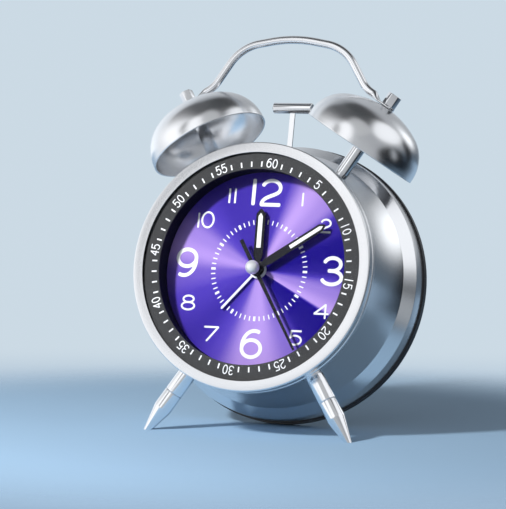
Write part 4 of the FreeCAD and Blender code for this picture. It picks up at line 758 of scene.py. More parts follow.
def finishes():
    """Every finish of the clock by name, made once."""
    made = {material.name: material for material in bpy.data.materials}
    if "Satin silver" in made:
        return made
    scene = bpy.context.scene
    metal, look = scene.clock_metal, scene.clock_dial
    silver = tuple(metal.silver)
    satin_metal("Satin silver", silver, metal.satin)
    satin_metal("Drum silver", silver, metal.satin - 0.07)
    satin_metal("Bell silver", shaded(silver, 0.99), metal.satin - 0.04)
    satin_metal("Pearl silver", shaded(silver, 0.96), roughness=0.4, metallic=0.5)
    polished_metal("Handle silver", shaded(silver, 1.03), roughness=0.2)
    polished_metal("Polished silver", silver, metal.polish)
    polished_metal("Steel", (0.55, 0.55, 0.56), roughness=0.25)
    # name, colour, roughness, scale of the grain and gloss
    for plastic in (
        ("Black plastic", tuple(metal.plastic), 0.42, 1400, 0.5),
        # The frame is black plastic; its near-black navy is partly its own colour and partly
        # painted shade for the dial's deep recess.
        ("Frame plastic", (0.0025, 0.0025, 0.014), 0.55, 1400, 0.06),
        ("Ring grey", tuple(look.ring), 0.55, 2600, 0.12),
        ("Movement black", (0.025, 0.026, 0.03), 0.5, 1400, 0.5),
        ("Gear nylon", (0.72, 0.70, 0.64), 0.45, 1400, 0.5),
        ("Board green", (0.02, 0.11, 0.05), 0.4, 1400, 0.5),
        ("Hand anthracite", (0.014, 0.014, 0.018), 0.4, 3000, 0.2),
        ("White print", (0.86, 0.86, 0.92), 0.5, 3000, 0.15),
        ("White lume", (0.88, 0.90, 0.88), 0.6, 3000, 0.5),
        ("Hand white", (0.80, 0.80, 0.85), 0.4, 3000, 0.5),
    ):
        moulded_plastic(*plastic)
    sunburst("Sunburst purple", look)
    clear_glass("Clear glass")
    wound_copper("Copper winding")
    battery_wrap("Battery jacket")
    return {material.name: material for material in bpy.data.materials}


# The record's slots and the finish of each
SLOT_FINISH = {
    "satin_silver": "Satin silver",
    "polished_silver": "Polished silver",
    "black_plastic": "Black plastic",
    "ring_grey": "Ring grey",
    "frame_black": "Frame plastic",
    "dial_purple": "Sunburst purple",
    "clear_glass": "Clear glass",
    "hand_dark": "Hand anthracite",
    "hand_white": "Hand white",
    "gear_nylon": "Gear nylon",
    "movement_black": "Movement black",
    "steel": "Steel",
    "copper_coil": "Copper winding",
    "board_green": "Board green",
    "battery_jacket": "Battery jacket",
}


# Numerals, drawn as strokes in a box from (0, 0) to (1, 1)


def oval(x, y, across, up, start, end, steps=18):
    """Points on a stretch of an oval between two angles in degrees."""
    angles = [math.radians(start + (end - start) * step / steps) for step in range(steps + 1)]
    return [(x + across * math.cos(a), y + up * math.sin(a)) for a in angles]


def loop(x, y, across, up, steps=36):
    """Points on a whole oval, each only once."""
    return oval(x, y, across, up, 0, 360 - 360 / steps, steps - 1)


def bent(start, first, second, end, steps=12):
    """Points on a cubic curve."""
    points = (start, first, second, end)
    line = []
    for step in range(steps + 1):
        t = step / steps
        shares = ((1 - t) ** 3, 3 * t * (1 - t) ** 2, 3 * t * t * (1 - t), t**3)
        x, y = (sum(share * point[axis] for share, point in zip(shares, points)) for axis in (0, 1))
        line.append((x, y))
    return line


def numeral_strokes():
    """For each numeral, its strokes as (closed, points)."""
    six = [
        (False, oval(0.62, 0.42, 0.62, 0.58, 68, 182)),
        (True, loop(0.5, 0.325, 0.5, 0.325)),
    ]
    return {
        "0": [(True, loop(0.5, 0.5, 0.5, 0.5))],
        "1": [(False, [(0.5, 0), (0.5, 1)])],
        "2": [
            (
                False,
                oval(0.5, 0.69, 0.5, 0.31, 158, -30)
                + bent((0.93, 0.535), (0.72, 0.36), (0.0, 0.34), (0.0, 0.0))[1:],
            ),
            (False, [(0, 0), (1, 0)]),
        ],
        "3": [
            (False, oval(0.47, 0.755, 0.44, 0.245, 160, -90) + [(0.30, 0.51)]),
            (False, [(0.36, 0.51)] + oval(0.47, 0.255, 0.53, 0.255, 90, -160)),
        ],
        "4": [
            (False, [(0.78, 1), (0, 0.32)]),
            (False, [(0, 0.32), (1, 0.32)]),
            (False, [(0.78, 1), (0.78, 0)]),
        ],
        "5": [
            (False, [(0.95, 1), (0.12, 1)]),
            (False, [(0.12, 1), (0.05, 0.50)]),
            (False, [(0.05, 0.50)] + oval(0.45, 0.33, 0.55, 0.33, 118, -150)),
        ],
        "6": six,
        "7": [(False, [(0, 1), (1, 1)]), (False, [(1, 1), (0.22, 0)])],
        "8": [(True, loop(0.5, 0.765, 0.41, 0.235)), (True, loop(0.5, 0.27, 0.5, 0.27))],
        "9": [(closed, [(1 - x, 1 - y) for x, y in points]) for closed, points in six],
    }


def draw_numeral(shape, digit, box, half, depth, height, turn=None):
    """Draws a digit in a box (x0, x1, z0, z1) that its strokes fill to the edges."""
    x0, x1, z0, z1 = box
    x0, x1, z0, z1 = x0 + half, x1 - half, z0 + half, z1 - half
    if x1 < x0:
        x0 = x1 = (x0 + x1) / 2
    for number, (closed, points) in enumerate(numeral_strokes()[digit]):
        line = [Vector((x0 + (x1 - x0) * x, z0 + (z1 - z0) * y)) for x, y in points]
        if turn is not None:
            line = [Matrix.Rotation(-turn, 2) @ point for point in line]
        add_stroke(shape, line, half, depth, height + STROKE_STEP * number, closed)


# Rings of marks


def marks_tree():
    """A node tree that sets bars round a circle, pointing out from its centre."""
    tree = bpy.data.node_groups.new("Ring of marks", "GeometryNodeTree")
    face = tree.interface
    face.new_socket("Geometry", in_out="OUTPUT", socket_type="NodeSocketGeometry")
    for word, kind, value in (
        ("Count", "NodeSocketInt", 60),
        ("Radius", "NodeSocketFloat", 0.02),
        ("Length", "NodeSocketFloat", 0.002),
        ("Width", "NodeSocketFloat", 0.0005),
        ("Thickness", "NodeSocketFloat", 0.00004),
        ("Group Of", "NodeSocketInt", 5),
        ("Firsts", "NodeSocketBool", False),
        ("Turn", "NodeSocketFloat", 0.0),
        ("Material", "NodeSocketMaterial", None),
    ):
        socket = face.new_socket(word, in_out="INPUT", socket_type=kind)
        if value is not None:
            socket.default_value = value
    given = node(tree, "NodeGroupInput").outputs
    circle = node(
        tree, "GeometryNodeMeshCircle", {"Vertices": given["Count"], "Radius": given["Radius"]}
    )
    index = node(tree, "GeometryNodeInputIndex").outputs[0]
    rest = formula(tree, "MODULO", index, given["Group Of"])
    is_first = formula(tree, "LESS_THAN", rest, 0.5)
    chosen = formula(tree, "COMPARE", is_first, given["Firsts"], 0.1)
    size = node(tree, "CombineXYZ", {0: given["Length"], 1: given["Width"], 2: given["Thickness"]})
    bar = node(tree, "GeometryNodeMeshCube", {"Size": size.outputs[0]})
    step = formula(tree, "DIVIDE", 2 * math.pi, given["Count"])
    facing = node(tree, "CombineXYZ", {2: formula(tree, "MULTIPLY", index, step)})
    spread = node(
        tree,
        "GeometryNodeInstanceOnPoints",
        {
            "Points": circle.outputs["Mesh"], "Instance": bar.outputs["Mesh"],
            "Selection": chosen, "Rotation": facing.outputs[0],
        },
    )
    whole_turn = node(tree, "CombineXYZ", {2: given["Turn"]})
    turned_round = node(
        tree,
        "GeometryNodeTransform",
        {"Geometry": spread.outputs["Instances"], "Rotation": whole_turn.outputs[0]},
    )
    real = node(
        tree, "GeometryNodeRealizeInstances", {"Geometry": turned_round.outputs["Geometry"]}
    )
    paint = node(
        tree,
        "GeometryNodeSetMaterial",
        {"Geometry": real.outputs["Geometry"], "Material": given["Material"]},
    )
    node(tree, "NodeGroupOutput", {"Geometry": paint.outputs["Geometry"]})
    return tree


def ring_of_marks(name, depth, material, slot, **inputs):
    """A printed ring of bars on the dial or the minute ring. The tree's lengths are in metres."""
    holder = helper(name + "_holder")
    modifier = holder.modifiers.new("Marks", "NODES")
    modifier.node_group = bpy.data.node_groups.get("Ring of marks") or marks_tree()
    inputs["material"] = material
    for item in modifier.node_group.interface.items_tree:
        word = item.name.replace(" ", "_").lower()
        if item.in_out == "INPUT" and word in inputs:
            modifier[item.identifier] = inputs[word]
    shape = worked_shape(holder)
    bpy.data.objects.remove(holder)
    place = Matrix.Translation((0, depth, 0)) @ BACK @ Matrix.Scale(PER_METRE, 4)
    bmesh.ops.transform(shape, matrix=place, verts=shape.verts)
    piece(name, shape, material, crease=30)


# Pieces


def bezel_profile(sizes):
    """The bezel: a very flat cone in front, then a flange, a groove and a bead on its side."""
    outer, lip, deep = sizes.bezel_radius, sizes.lip_radius, sizes.bezel_depth
    # The front's rim lies this far behind its lip.
    cone = 0.33
    flange, groove, groove_depth = 4.2, 0.9, 1.5
    wall, front_wall = 2.4, 0.6
    return filleted(
        [
            (lip, 0, 0.12), (outer, cone, 0.6), (outer, flange, 0.22),
            (outer - groove_depth, flange, 0.1), (outer - groove_depth, flange + groove, 0.1),
            (outer, flange + groove, 0.55), (outer, deep, 0.5), (outer - wall, deep),
            (outer - wall, front_wall), (lip, front_wall, 0.12),
        ],
        steps=6,
    )


def glass_profile(sizes):
    """A gently domed glass whose flat rim is held behind the bezel's lip."""
    lens = sizes.lip_radius - 0.1
    rise, held, steps = 1.2, 2, 24
    rim_front, rim_rear = 0.6, 1.6
    bow = (lens * lens + rise * rise) / (2 * rise)
    spread = math.degrees(math.asin(lens / bow))
    front = arc(0, rim_front - rise + bow, bow, -90, -90 + spread, steps)
    rear = arc(0, rim_rear - rise + bow, bow, -90 + spread, -90, steps)
    return front + [(lens + held, rim_front), (lens + held, rim_rear)] + rear


def hollow_arc(first, last, radius, steps=20):
    """Points on an arc of this radius that bows in between two (radius, depth) points."""
    run = Vector(last) - Vector(first)
    middle = (Vector(first) + Vector(last)) / 2
    rise = math.sqrt(radius * radius - run.length_squared / 4)
    centre = middle + Vector((run.y, -run.x)).normalized() * rise
    start = math.degrees(math.atan2(*(Vector(first) - centre).yx)) % 360
    end = math.degrees(math.atan2(*(Vector(last) - centre).yx)) % 360
    return arc(centre.x, centre.y, radius, start, end, steps)


def case_profile(sizes):
    """The case's sheet from the neck behind the bezel to the rear rim, out and back again."""
    sheet = sizes.sheet
    # Corners of the outside, each as (radius, depth)
    neck, shoulder, crease = (50.5, 3.4), (52.0, 8.0), (55.7, 37.9)
    flare, rear = (59.8, 43.4), (60.3, 51.5)
    cove = hollow_arc(shoulder, crease, sizes.cove_radius)
    outside = [neck, (neck[0], shoulder[1]), *cove[:-1]]
    outside += [(*crease, 0.4), (*flare, 0.3), (*rear, 0.2)]
    inside = [(radius - sheet, depth) for radius, depth in (rear, flare, crease, *cove[-2:0:-1])]
    inside += [
        (shoulder[0] - sheet, shoulder[1] + sheet),
        (neck[0] - sheet, shoulder[1] + sheet),
        (neck[0] - sheet, neck[1]),
    ]
    return filleted(outside + inside, steps=4)


def front_parts(scene):
    """Bezel, glass and case, turned from their profiles."""
    sizes, bells = drawing_units(scene.clock_case), drawing_units(scene.clock_bells)
    paint = finishes()
    piece(
        "bezel_ring", turned(bezel_profile(sizes), sizes.segments, BACK), paint["Satin silver"],
        replaced=("bezel",),
    )
    piece(
        "domed_glass", turned(glass_profile(sizes), sizes.segments, BACK, closed=False),
        paint["Clear glass"], replaced=("front_glass",),
    )
    # The hammer's arm comes out of the case through a slot in its top, whose middle lies a
    # little left of the arm, as the arm swings to that side.
    slot_aside, slot_height, slot_sides = 1.6, 53, (10.2, 3.2, 14)
    slot = Matrix.Translation((HAMMER_ACROSS - slot_aside, bells.depth, slot_height))
    drum = cut(turned(case_profile(sizes), sizes.segments, BACK), rotated_box(slot, slot_sides))
    piece(
        "case_body", drum, paint["Drum silver"], replaced=("case_shell",)
    )


def sunburst_disc(depth):
    """The dial's disc, with a map of (share of a turn, radius) for its fine lines."""
    steps, thick, map_radius = 240, 0.5, 50
    hole, rim = 3.4, 43.3
    stations = [(radius, depth) for radius in (hole, 4, 6, 9, 13, 18, 24, 30, 36, rim)]
    stations += [(rim, depth + thick), (hole, depth + thick)]
    turns = [2 * math.pi * step / steps for step in range(steps)]
    disc = bmesh.new()
    layer = disc.loops.layers.uv.new("Polar")
    rings = []
    for radius, back in stations:
        points = [(radius * math.sin(turn), back, radius * math.cos(turn)) for turn in turns]
        rings.append((radius, [disc.verts.new(point) for point in points]))
    for (near, first), (far, second) in zip(rings, rings[1:] + rings[:1]):
        for step in range(steps):
            ahead = (step + 1) % steps
            face = disc.faces.new((first[step], second[step], second[ahead], first[ahead]))
            spots = ((step, near), (step, far), (step + 1, far), (step + 1, near))
            for corner, (at, radius) in zip(face.loops, spots):
                corner[layer].uv = (at / steps, radius / map_radius)
    bmesh.ops.recalc_face_normals(disc, faces=disc.faces)
    return disc


def dial_numerals(depth, lift):
    """The twelve hours, the quarters in bold."""
    bold, thin = 0.8, 0.41
    shape = bmesh.new()
    # Each digit, its box (x0, x1, z0, z1) and half the width of its stroke
    for digit, box, half in (
        ("1", (-5.55, -5.55, 27.5, 39.5), bold), ("2", (-2.55, 7.2, 27.4, 39.4), bold),
        ("3", (28.1, 38.0, -5.6, 7.2), bold), ("6", (-5.3, 4.8, -37.9, -25.1), bold),
        ("9", (-38.2, -28.2, -4.2, 8.6), bold), ("1", (16.85, 16.85, 27.8, 33.9), thin),
        ("2", (25.7, 30.7, 16.8, 23.0), thin), ("4", (26.2, 33.15, -19.6, -13.1), thin),
        ("5", (16.3, 22.2, -31.3, -24.7), thin), ("7", (-22.5, -15.5, -31.4, -24.7), thin),
        ("8", (-34.1, -27.5, -18.5, -11.7), thin), ("1", (-29.7, -29.7, 17.2, 24.0), thin),
        ("0", (-28.5, -22.4, 17.2, 24.6), thin), ("1", (-16.5, -16.5, 28.25, 34.95), thin),
        ("1", (-13.9, -13.9, 28.25, 34.95), thin),
    ):
        draw_numeral(shape, digit, box, half, depth, lift)
    return shape


def ring_numerals(depth, lift, ring_turn):
    """The minutes from 5 to 60, each turned to point out from the centre."""
    wide, tall, gap, centre, half = 2.25, 4.05, 0.42, 44.4, 0.21
    shape = bmesh.new()
    for minute in range(5, 65, 5):
        turn = math.radians(ring_turn + minute * 6)
        text = str(minute)
        start = -(len(text) * wide + (len(text) - 1) * gap) / 2
        for place, digit in enumerate(text):
            left = start + place * (wide + gap)
            box = (left, left + wide, centre - tall / 2, centre + tall / 2)
            draw_numeral(shape, digit, box, half, depth, lift, turn)
    return shape


def dial_parts(scene):
    """Minute ring, dial and all that is printed on them."""
    look, sizes = drawing_units(scene.clock_dial), drawing_units(scene.clock_case)
    paint = finishes()
    white = paint["White print"]
    depth, ring_depth, lift = look.depth, look.ring_depth, look.print_height
    inner, outer, thick, rounding = 41.65, 50.5, 0.8, 0.12
    ring = filleted(
        [
            (inner, ring_depth, rounding), (outer, ring_depth),
            (outer, ring_depth + thick), (inner, ring_depth + thick, rounding),
        ]
    )
    piece(
        "minute_ring", turned(ring, sizes.segments, BACK), paint["Ring grey"],
        replaced=("chapter_ring",),
    )
    piece(
        "sunburst_dial", sunburst_disc(depth), paint["Sunburst purple"],
        replaced=("dial",),
    )
    piece("dial_numerals", dial_numerals(depth, lift), white, crease=20)
    minutes = ring_numerals(ring_depth, lift, look.ring_turn)
    piece("ring_numerals", minutes, white, crease=20)

    half_lift = (lift - PRINT_SUNK) / 2
    marks = {"count": 60, "thickness": (lift + PRINT_SUNK) / PER_METRE, "group_of": 5}
    ring_of_marks(
        "ring_marks", ring_depth - half_lift, white, "hand_white", **marks, radius=0.0437,
        length=0.00225, width=0.00062, firsts=False, turn=math.radians(look.ring_turn),
    )
    for name, firsts, width in (("dial_marks", False, 0.00046), ("dial_five_marks", True, 0.00098)):
        ring_of_marks(
            name, depth - half_lift, white, "hand_white", **marks, radius=0.02077,
            length=0.002, width=width, firsts=firsts,
        )


def hand_filling(start, end, half, point, angle, depth):
    """A white filling between two radii of a hand, with a point at its outer end."""
    outline = [(-half, start), (half, start), (half, end - point), (0, end), (-half, end - point)]
    middle = (start + end) / 2
    turn = Matrix.Rotation(math.radians(angle), 4, "Y")
    sunk, raised, crest, chamfer = 0.02, 0.05, 0.1, 0.12
    sections = []
    for back, inset in ((depth + sunk, 0), (depth - raised, 0), (depth - crest, chamfer)):
        sections.append(
            [
                turn @ Vector((x * (1 - inset / half), back, z + math.copysign(inset, middle - z)))
                for x, z in outline
            ]
        )
    return swept(sections)


def hand_parts(scene):
    """The luminous fillings of two hands and the ball over the centre."""
    paint = finishes()
    hour = hand_filling(start=9.2, end=24.2, half=0.98, point=1.5, angle=359, depth=9.2)
    minute = hand_filling(start=17.4, end=34.2, half=0.78, point=1.4, angle=56, depth=8.0)
    for name, filling, body in (
        ("hour_hand_filling", hour, "hour_works"),
        ("minute_hand_filling", minute, "minute_works"),
    ):
        piece(name, filling, paint["White lume"], body, crease=20)
    # The ball's middle and its flat rear lie this far behind the bezel's front.
    middle, rear, radius, steps = 4.0, 6.8, 3.0, 28
    ball = arc(0, middle, radius, -90, 70, steps) + [(0, rear)]
    piece(
        "centre_ball", turned(ball, SMALL_STEPS, BACK, closed=False), paint["Pearl silver"],
        "second_works", replaced=("second_hand_cap",),
    )


def bell_profile(sizes):
    """A bell's wall: up the outside from the rim, over the crown and back down the inside."""
    rim, out = sizes.rim_distance, sizes.rim_radius
    # The wall runs from a straight rim into a shoulder of this radius, then into the crown.
    shoulder, straight, hole = 16.7, 1.8, 1.6
    across = out - shoulder
    rise = sizes.height - straight - shoulder
    drop = (across * across - rise * rise) / (2 * rise)
    crown = sizes.height - straight + drop
    meet = math.degrees(math.atan2(drop, across))
    shoulder_height = rim + straight
    crown_height = rim + sizes.height - crown

    def shell(inset, steps=26):
        top = math.degrees(math.acos(hole / (crown - inset)))
        side = arc(across, shoulder_height, shoulder - inset, 0, meet, steps)
        cap = arc(0, crown_height, crown - inset, meet, top, steps)
        return side + cap[1:]

    inner = out - sizes.wall
    edge, rounding = 0.8, 0.3
    rounded_rim = filleted(
        [(inner, rim + edge), (inner, rim, rounding), (out, rim, rounding), (out, rim + edge)],
        closed=False, steps=5,
    )
    return rounded_rim + shell(0) + shell(sizes.wall)[::-1]


def hexagon(across_flats, start, end, place, edge=0.28):
    """A nut with softened edges."""
    radius = across_flats / math.sqrt(3)
    corners = [math.radians(60 * step) for step in range(6)]
    shape = bmesh.new()
    low, high = (
        [shape.verts.new((radius * math.cos(a), radius * math.sin(a), height)) for a in corners]
        for height in (start, end)
    )
    bridged(shape, low, high)
    shape.faces.new(low[::-1])
    shape.faces.new(high)
    bmesh.ops.bevel(
        shape, geom=list(shape.edges), offset=edge, segments=3, profile=0.6, affect="EDGES"
    )
    bmesh.ops.transform(shape, matrix=place, verts=shape.verts)
    return shape


def hammer_bar(sizes):
    """The hammer's head, a bar that lies just clear of both bells' rims."""
    angle = math.radians(sizes.angle)
    edge_x = sizes.rim_distance * math.sin(angle) - sizes.rim_radius * math.cos(angle)
    edge_z = sizes.rim_distance * math.cos(angle) + sizes.rim_radius * math.sin(angle)
    gap, radius, rounding, over_rims = 0.32, 2.35, 0.45, 3.36
    half = edge_x - gap - HAMMER_ACROSS
    profile = filleted(
        [(0, -half), (radius, -half, rounding), (radius, half, rounding), (0, half)],
        closed=False, steps=5,
    )
    middle = Matrix.Translation((HAMMER_ACROSS, sizes.depth, edge_z + over_rims))
    crosswise = Matrix.Rotation(math.radians(90), 4, "Y")
    return turned(profile, SMALL_STEPS, middle @ crosswise, closed=False)


def bell_parts(scene):
    """Both bells, the nuts over them, the handle and the hammer's head."""
    sizes, paint = drawing_units(scene.clock_bells), finishes()
    polished = paint["Polished silver"]
    top = sizes.rim_distance + sizes.height
    # Across its flats, where the nut starts and ends over the bell, and how it is turned
    flats, nut_start, nut_end, nut_turn = 5.5, 1.0, 6.4, 20
    nuts = []
    for side, name in ((-1, "left"), (1, "right")):
        place = turned_to(side * sizes.angle, sizes.depth)
        piece(
            name + "_bell_dome", turned(bell_profile(sizes), BELL_STEPS, place),
            paint["Bell silver"], replaced=(name + "_bell",), crease=60,
        )
        turn = Matrix.Rotation(math.radians(nut_turn), 4, "Z")
        nuts.append(hexagon(flats, top + nut_start, top + nut_end, place @ turn))
    piece(
        "dome_nuts", merged(*nuts), polished, replaced=("bell_nuts",),
        crease=25,
    )
    piece(
        "carrying_handle", handle_shape(sizes), paint["Handle silver"],
        replaced=("handle",), crease=40,
    )
    piece(
        "hammer_bar", hammer_bar(sizes), polished, "hammer",
        replaced=("hammer_head",),
    )


def handle_path(sizes, stud, aside, tongue):
    """The handle's middle line as (point, heading), from the right stud to the left one."""
    # Two corners of the right half and the crown's corner, each with the radius of its bend
    rise, foot_bend = 12.9, 12.0
    shoulder_in, shoulder_drop, shoulder_bend = 22.1, 3.35, 19.0
    crown_rise, crown_bend = 1.0, 56.0
    step_length, bend_step = 0.6, 0.8
    half = [
        (stud + aside * rise, foot_bend),
        (Vector((stud.x - shoulder_in, sizes.handle_top - shoulder_drop)), shoulder_bend),
    ]
    mirrored = [(Vector((-point.x, point.y)), bend) for point, bend in half[::-1]]
    corners = half + [(Vector((0, sizes.handle_top + crown_rise)), crown_bend)] + mirrored
    start = stud - aside * tongue
    finish = Vector((-start.x, start.y))
    path = [(start, aside)]

    def straight_to(end, heading):
        begin = path[-1][0]
        runs = max(2, int((end - begin).length / step_length))
        path.extend((begin.lerp(end, step / runs), heading) for step in range(1, runs + 1))

    points = [start] + [point for point, bend in corners] + [finish]
    for index, (corner, bend) in enumerate(corners, 1):
        heading = (corner - points[index - 1]).normalized()
        onward = (points[index + 1] - corner).normalized()
        turn = heading.angle_signed(onward)
        reach = bend * math.tan(abs(turn) / 2)
        entry = corner - heading * reach
        straight_to(entry, heading)
        centre = entry + Vector((heading.y, -heading.x)) * math.copysign(1, turn) * bend
        bends = max(6, int(bend * abs(turn) / bend_step))
        for step in range(1, bends + 1):
            spin = Matrix.Rotation(-turn * step / bends, 2)
            path.append((centre + spin @ (entry - centre), spin @ heading))
    straight_to(finish, path[-1][1])
    return path


def handle_shape(sizes):
    """A bent wire whose ends are hammered flat where the nuts hold them on the bells."""
    angle = math.radians(sizes.angle)
    out = Vector((math.sin(angle), math.cos(angle)))
    aside = Vector((-out.y, out.x))
    wire = sizes.wire_radius
    stud = out * (sizes.rim_distance + sizes.height + wire)
    left_stud, left_aside = Vector((-stud.x, stud.y)), Vector((-aside.x, aside.y))
    # Each flat end reaches a tongue's length past its stud and is rounded there. Up to
    # flat_until from the stud the wire is flat, and it is round again after the change.
    tongue, flat_wide, flat_thick = 3.25, 3.3, 0.5
    flat_until, change, least_square = 4.2, 4.6, 0.05
    # Points round the wire, how square the flat ends are and a height inside the bow
    count, squareness, bow_middle = 32, 0.45, 40
    sections = []
    for point, heading in handle_path(sizes, stud, aside, tongue):
        from_stud = min((point - stud).length, (point - left_stud).length)
        beyond = min((point - stud).dot(aside), (point - left_stud).dot(left_aside))
        flat = 1 - min(1, max(0, (from_stud - flat_until) / change))
        flat = flat * flat * (3 - 2 * flat)
        wide = wire + (flat_wide - wire) * flat
        thick = wire + (flat_thick - wire) * flat
        if beyond < 0:
            wide = math.sqrt(max(least_square, flat_wide * flat_wide - beyond * beyond))
        upward = Vector((heading.y, -heading.x))
        if upward.dot(Vector((point.x, point.y - bow_middle))) < 0:
            upward = -upward
        centre = point - upward * (wire - thick)
        power = 1 - squareness * flat
        ring = []
        for step in range(count):
            turn = 2 * math.pi * step / count
            across, up = math.cos(turn), math.sin(turn)
            side = math.copysign(abs(across) ** power, across) * wide
            rise = math.copysign(abs(up) ** power, up) * thick
            spot = centre + upward * rise
            ring.append((spot.x, sizes.depth + side, spot.y))
        sections.append(ring)
    return swept(sections)


def foot_shape(radius, seam, tip, edge, place):
    """A coned foot, cut flat where it meets the table."""
    cone_length, cone_bend, point = 11.2, 3.0, 1.5
    slope = (radius - point) / cone_length
    foot = filleted(
        [
            (0, seam), (radius, seam, edge), (radius, tip - cone_length, cone_bend),
            (point - point * slope, tip + point), (0, tip + point),
        ],
        closed=False, steps=6,
    )
    shape = turned(foot, LEG_STEPS, place, closed=False)
    table = CLOCK.inverted() @ Vector((0, 0, 0))
    down = LEAN.transposed() @ Vector((0, 0, 1))
    sliced = bmesh.ops.bisect_plane(
        shape, geom=shape.verts[:] + shape.edges[:] + shape.faces[:],
        plane_co=table, plane_no=down, clear_inner=True,
    )
    rim = [part for part in sliced["geom_cut"] if isinstance(part, bmesh.types.BMEdge)]
    bmesh.ops.contextual_create(shape, geom=rim)
    bmesh.ops.recalc_face_normals(shape, faces=shape.faces)
    return shape


def leg_parts(scene):
    """Legs and their pointed feet."""
    polished = finishes()["Polished silver"]
    # Counted from the dial's axis, a leg starts inside the case and goes over into its foot at
    # a seam, and the tip is where the cone would reach the width of its point.
    radius, start, tip, foot_length, edge = 3.95, 52.0, 83.3, 19.4, 0.35
    spread, depth = 33.0, 15.2
    seam = tip - foot_length
    for side, name in ((-1, "left"), (1, "right")):
        place = turned_to(180 - side * spread, depth)
        leg = filleted(
            [(0, start), (radius, start), (radius, seam, edge), (0, seam)], closed=False, steps=5
        )
        piece(
            name + "_leg_tube", turned(leg, LEG_STEPS, place, closed=False), polished,
            replaced=(name + "_leg",),
        )
        piece(
            name + "_foot_cone", foot_shape(radius, seam, tip, edge, place), polished,
            replaced=(name + "_foot",),
        )


def packed_parts(scene):
    """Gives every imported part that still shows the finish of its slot."""
    paint = finishes()
    for row in frame["record"]["subparts"]:
        mesh = frame["nodes"][row["node"]].data
        mesh.materials.clear()
        mesh.materials.append(paint[SLOT_FINISH[row["material_slot"]]])


# Room

# Radius of the floor, and the middle of the clock, which the lamp points at, in metres
FLOOR_REACH = 2
LIT_POINT = Vector((0, 0, 0.085))


def towards(azimuth, elevation):
    """The direction at an azimuth, from the front to the right, and an elevation in degrees."""
    azimuth, elevation = math.radians(azimuth), math.radians(elevation)
    flat = math.cos(elevation)
    return Vector((math.sin(azimuth) * flat, -math.cos(azimuth) * flat, math.sin(elevation)))


def soft_box(tree, where, azimuth, elevation, half_width, half_height, softness):
    """How much a direction looks at an oval patch of the room, from 0 to 1."""
    aim = towards(azimuth, elevation)
    across = Vector((-aim.y, aim.x, 0)).normalized()
    upward = aim.cross(across)

    def part_along(axis):
        made = node(tree, "VectorMath", {0: where, 1: axis}, operation="DOT_PRODUCT")
        return made.outputs["Value"]

    x = part_along(across / math.sin(math.radians(half_width)))
    y = part_along(upward / math.sin(math.radians(half_height)))
    flat = node(tree, "CombineXYZ", {"X": x, "Y": y}).outputs["Vector"]
    distance = node(tree, "VectorMath", {0: flat}, operation="LENGTH").outputs["Value"]
    inside = eased(tree, distance, 1 + softness, 1 - softness)
    ahead = formula(tree, "GREATER_THAN", part_along(aim), 0.0)
    return formula(tree, "MULTIPLY", inside, ahead)


def room_light(tree, look):
    """Colour of the room in each direction: pale walls, a dim ceiling and soft boxes."""
    where = node(tree, "TexCoord").outputs["Generated"]
    height = along(tree, where)["Z"]
    # Colours from straight down to straight up
    bands = (
        (0.0, (0.120, 0.155, 0.195)),
        (0.25, (0.110, 0.150, 0.195)),
        (0.40, (0.090, 0.140, 0.200)),
        (0.5, (0.097, 0.124, 0.155)),
        (0.6, (0.357, 0.374, 0.394)),
        (0.74, (0.346, 0.360, 0.380)),
        (0.83, (0.405, 0.420, 0.446)),
        (0.93, (0.054, 0.055, 0.058)),
        (1.0, (0.060, 0.065, 0.070)),
    )
    colour = ramped(tree, share_of(tree, height, -1.0, 1.0), bands)
    # azimuth, elevation, half width, half height, softness and colour of each patch
    for *patch, tone in (
        # grey room in front, pale wall behind on the left, dark ceiling and dark right corner
        (48, -3.5, 46, 27, 0.15, (0.395, 0.41, 0.43)),
        (-126, -24, 38, 57, 0.59, (1.03, 1.10, 1.17)),
        (-81, 57, 20, 31, 0.16, (0.096, 0.10, 0.106)),
        (23, 48, 21, 23, 0.15, (0.49, 0.50, 0.515)),
        (84, -14, 32, 23, 0.16, (0.002, 0.002, 0.003)),
        (130, 6, 10, 56, 0.18, (0.003, 0.003, 0.005)),
        (145, -37, 56, 24, 0.18, (0.002, 0.004, 0.008)),
        # bright floor in front and the soft boxes
        (-39, -52, 38, 28, 0.76, (1.24, 1.26, 1.29)),
        (-54, 11.5, 39, 29, 0.77, (1.19, 1.20, 1.22)),
        (-12, 30, 14.3, 24, 0.20, (1.11, 1.12, 1.14)),
        (98.5, 37, 32, 21, 0.15, (0.99, 1.01, 1.04)),
        (152, 19, 11.3, 9.6, 0.80, (1.44, 1.48, 1.52)),
        (89, -6, 6, 11, 0.50, (0.42, 0.45, 0.48)),
        # a dark card between the soft boxes, which shades the left of the bezel
        (-33.7, 26.5, 6.2, 12, 0.55, (0.22, 0.225, 0.235)),
    ):
        colour = mixed_colour(tree, soft_box(tree, where, *patch), colour, tone)
    # The pale wall is what the camera sees all round, and what metal and glass show of the
    # part of the room behind the clock.
    behind = -158
    path = node(tree, "LightPath").outputs
    shown = formula(tree, "ADD", path["Is Glossy Ray"], path["Is Transmission Ray"])
    wall_behind = soft_box(tree, where, behind, -6, 20, 18, 0.3)
    shown = formula(tree, "MULTIPLY", shown, wall_behind)
    seen = formula(tree, "ADD", path["Is Camera Ray"], shown, use_clamp=True)
    colour = mixed_colour(tree, seen, colour, tuple(look.wall))
    # The far floor behind the clock fades in between two heights under the horizon.
    below = eased(tree, height, -0.105, -0.128)
    floor_behind = soft_box(tree, where, behind, -20, 50, 55, 0.3)
    share = formula(tree, "MULTIPLY", below, floor_behind)
    return mixed_colour(tree, share, colour, tuple(look.far_floor))


